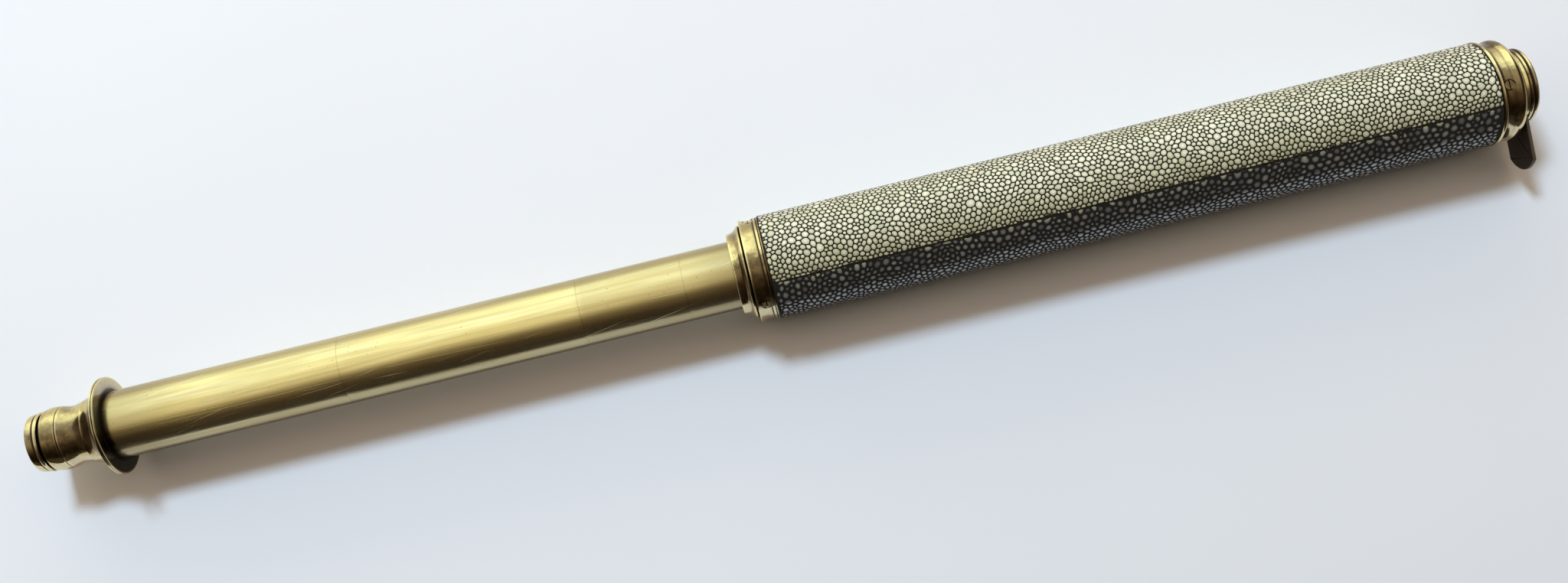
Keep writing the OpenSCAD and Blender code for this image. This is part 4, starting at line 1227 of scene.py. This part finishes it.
def make_panels():
    """What the brass mirrors. The near panel bends from overhead down to the floor on the viewer's
    side, the far one from the floor up to overhead beyond the telescope, both on a circle of 1 m
    about the axis, and an upright panel stands at each end."""
    low, left, right = FLOOR_Z + 0.001, -2.4, 2.1
    bend = np.radians(np.arange(0, 89, 4.0))
    rows = [(a / math.radians(100), -math.sin(a), math.cos(a)) for a in bend]
    rows += [(0.93, -1.0, low), (1.0, -0.10, low)]
    add_panel("near_panel", [(v, (left, y, z), (right, y, z)) for v, y, z in rows],
              [(0.0, (1.0, 1.03, 1.0)), (0.15, (0.92, 0.92, 0.86)), (0.27, (0.50, 0.46, 0.40)),
               (0.38, (0.22, 0.19, 0.15)), (0.48, (0.15, 0.12, 0.10)), (0.62, (0.07, 0.055, 0.05)),
               (0.78, (0.045, 0.038, 0.036)), (1.0, (0.06, 0.05, 0.045))])
    bend = np.radians(np.arange(0, 91, 4.5))
    rows = [(a / math.radians(90), math.cos(a), math.sin(a)) for a in bend]
    add_panel("far_panel", [(v, (right, y, z), (left, y, z)) for v, y, z in rows],
              [(0.0, (0.95, 1.05, 1.15)), (0.16, (1.45, 1.66, 1.8)), (0.66, (1.5, 1.75, 2.0)),
               (0.82, (1.3, 1.42, 1.46)), (1.0, (1.0, 1.03, 1.0))])
    for name, x, half, top, stops in (
            ("end_panel", 1.2, 1.3, 1.25,
             [(0.0, (0.10, 0.08, 0.07)), (0.6, (0.13, 0.10, 0.08)), (1.0, (0.7, 0.72, 0.72))]),
            ("far_end_panel", -1.75, -1.3, 1.0,
             [(0.0, (0.12, 0.10, 0.08)), (0.65, (0.16, 0.13, 0.10)), (1.0, (0.7, 0.72, 0.72))])):
        add_panel(name, [(0.0, (x, half, low), (x, -half, low)),
                         (1.0, (x, half, top), (x, -half, top))], stops)


def make_camera():
    """The camera of the photograph: its place, its three axes and its lens, as fitted."""
    scene = bpy.context.scene
    data = bpy.data.cameras.new("camera")
    data.lens, data.sensor_width, data.sensor_fit = 35.59, 36.0, "HORIZONTAL"
    data.clip_start, data.clip_end = 0.01, 20
    place = (-0.15395, -0.1740, 0.6542)
    right, up = Vector((0.97182, -0.22842, -0.05815)), Vector((0.23570, 0.94354, 0.23277))
    back = right.cross(up).normalized()
    right = up.cross(back).normalized()
    up = back.cross(right)
    turn = Matrix((right, up, back)).transposed().to_4x4()
    scene.camera = placed("camera", data)
    scene.camera.matrix_world = Matrix.Translation(place) @ turn
    scene.view_settings.view_transform = "Standard"


# Operators


class TELESCOPE_OT_stage(bpy.types.Operator):
    """Make the stage."""

    bl_idname = "telescope.stage"
    bl_label = "Floor, lamps and camera"
    bl_options = {"REGISTER", "UNDO"}

    def execute(self, context):
        make_stage()
        return {"FINISHED"}


class TELESCOPE_OT_skin(bpy.types.Operator):
    """Wrap the beaded skin round the barrel."""

    bl_idname = "telescope.skin"
    bl_label = "Ray skin"
    bl_options = {"REGISTER", "UNDO"}

    def execute(self, context):
        make_skin()
        return {"FINISHED"}


class TELESCOPE_OT_eye_mount(bpy.types.Operator):
    """Turn the mount at the eye end."""

    bl_idname = "telescope.eye_mount"
    bl_label = "Eye end mount"
    bl_options = {"REGISTER", "UNDO"}

    def execute(self, context):
        make_eye_mount()
        return {"FINISHED"}


class TELESCOPE_OT_objective_mount(bpy.types.Operator):
    """Turn the objective mount."""

    bl_idname = "telescope.objective_mount"
    bl_label = "Objective mount"
    bl_options = {"REGISTER", "UNDO"}

    def execute(self, context):
        make_objective_mount()
        return {"FINISHED"}


class TELESCOPE_OT_front_ring(bpy.types.Operator):
    """Turn the ring that closes the shutter."""

    bl_idname = "telescope.front_ring"
    bl_label = "Front ring"
    bl_options = {"REGISTER", "UNDO"}

    def execute(self, context):
        make_front_ring()
        return {"FINISHED"}


class TELESCOPE_OT_blade(bpy.types.Operator):
    """Make the dust shutter's blade."""

    bl_idname = "telescope.blade"
    bl_label = "Shutter blade"
    bl_options = {"REGISTER", "UNDO"}

    def execute(self, context):
        make_blade()
        return {"FINISHED"}


class TELESCOPE_OT_draw_tube(bpy.types.Operator):
    """Make the draw tube."""

    bl_idname = "telescope.draw_tube"
    bl_label = "Draw tube"
    bl_options = {"REGISTER", "UNDO"}

    def execute(self, context):
        make_draw_tube()
        return {"FINISHED"}


class TELESCOPE_OT_eyepiece(bpy.types.Operator):
    """Turn the eyepiece's three pieces."""

    bl_idname = "telescope.eyepiece"
    bl_label = "Eyepiece"
    bl_options = {"REGISTER", "UNDO"}

    def execute(self, context):
        make_eyepiece()
        return {"FINISHED"}


class TELESCOPE_OT_inner(bpy.types.Operator):
    """Finish the pieces that keep the shape of their solids."""

    bl_idname = "telescope.inner"
    bl_label = "Inner pieces"
    bl_options = {"REGISTER", "UNDO"}

    def execute(self, context):
        dress_inner()
        return {"FINISHED"}


OPERATORS = [TELESCOPE_OT_stage, TELESCOPE_OT_skin, TELESCOPE_OT_eye_mount,
             TELESCOPE_OT_objective_mount, TELESCOPE_OT_front_ring, TELESCOPE_OT_blade,
             TELESCOPE_OT_draw_tube, TELESCOPE_OT_eyepiece, TELESCOPE_OT_inner]


class TELESCOPE_PT_panel(bpy.types.Panel):
    """Lists the telescope's pieces."""

    bl_label = "Telescope"
    bl_space_type, bl_region_type, bl_category = "VIEW_3D", "UI", "Telescope"

    def draw(self, context):
        for kind in OPERATORS:
            self.layout.operator(kind.bl_idname)


GROUPED = {"telescope_skin": SkinSizes, "telescope_brass": BrassLook, "telescope_stage": StageLook}
CLASSES = [*GROUPED.values(), *OPERATORS, TELESCOPE_PT_panel]


def register():
    for kind in CLASSES:
        bpy.utils.register_class(kind)
    for key, kind in GROUPED.items():
        setattr(bpy.types.Scene, key, PointerProperty(type=kind))


def unregister():
    for key in GROUPED:
        delattr(bpy.types.Scene, key)
    for kind in reversed(CLASSES):
        bpy.utils.unregister_class(kind)


def main():
    register()
    for kind in OPERATORS:
        getattr(bpy.ops.telescope, kind.bl_idname.split(".")[1])()


if __name__ == "__main__":
    main()
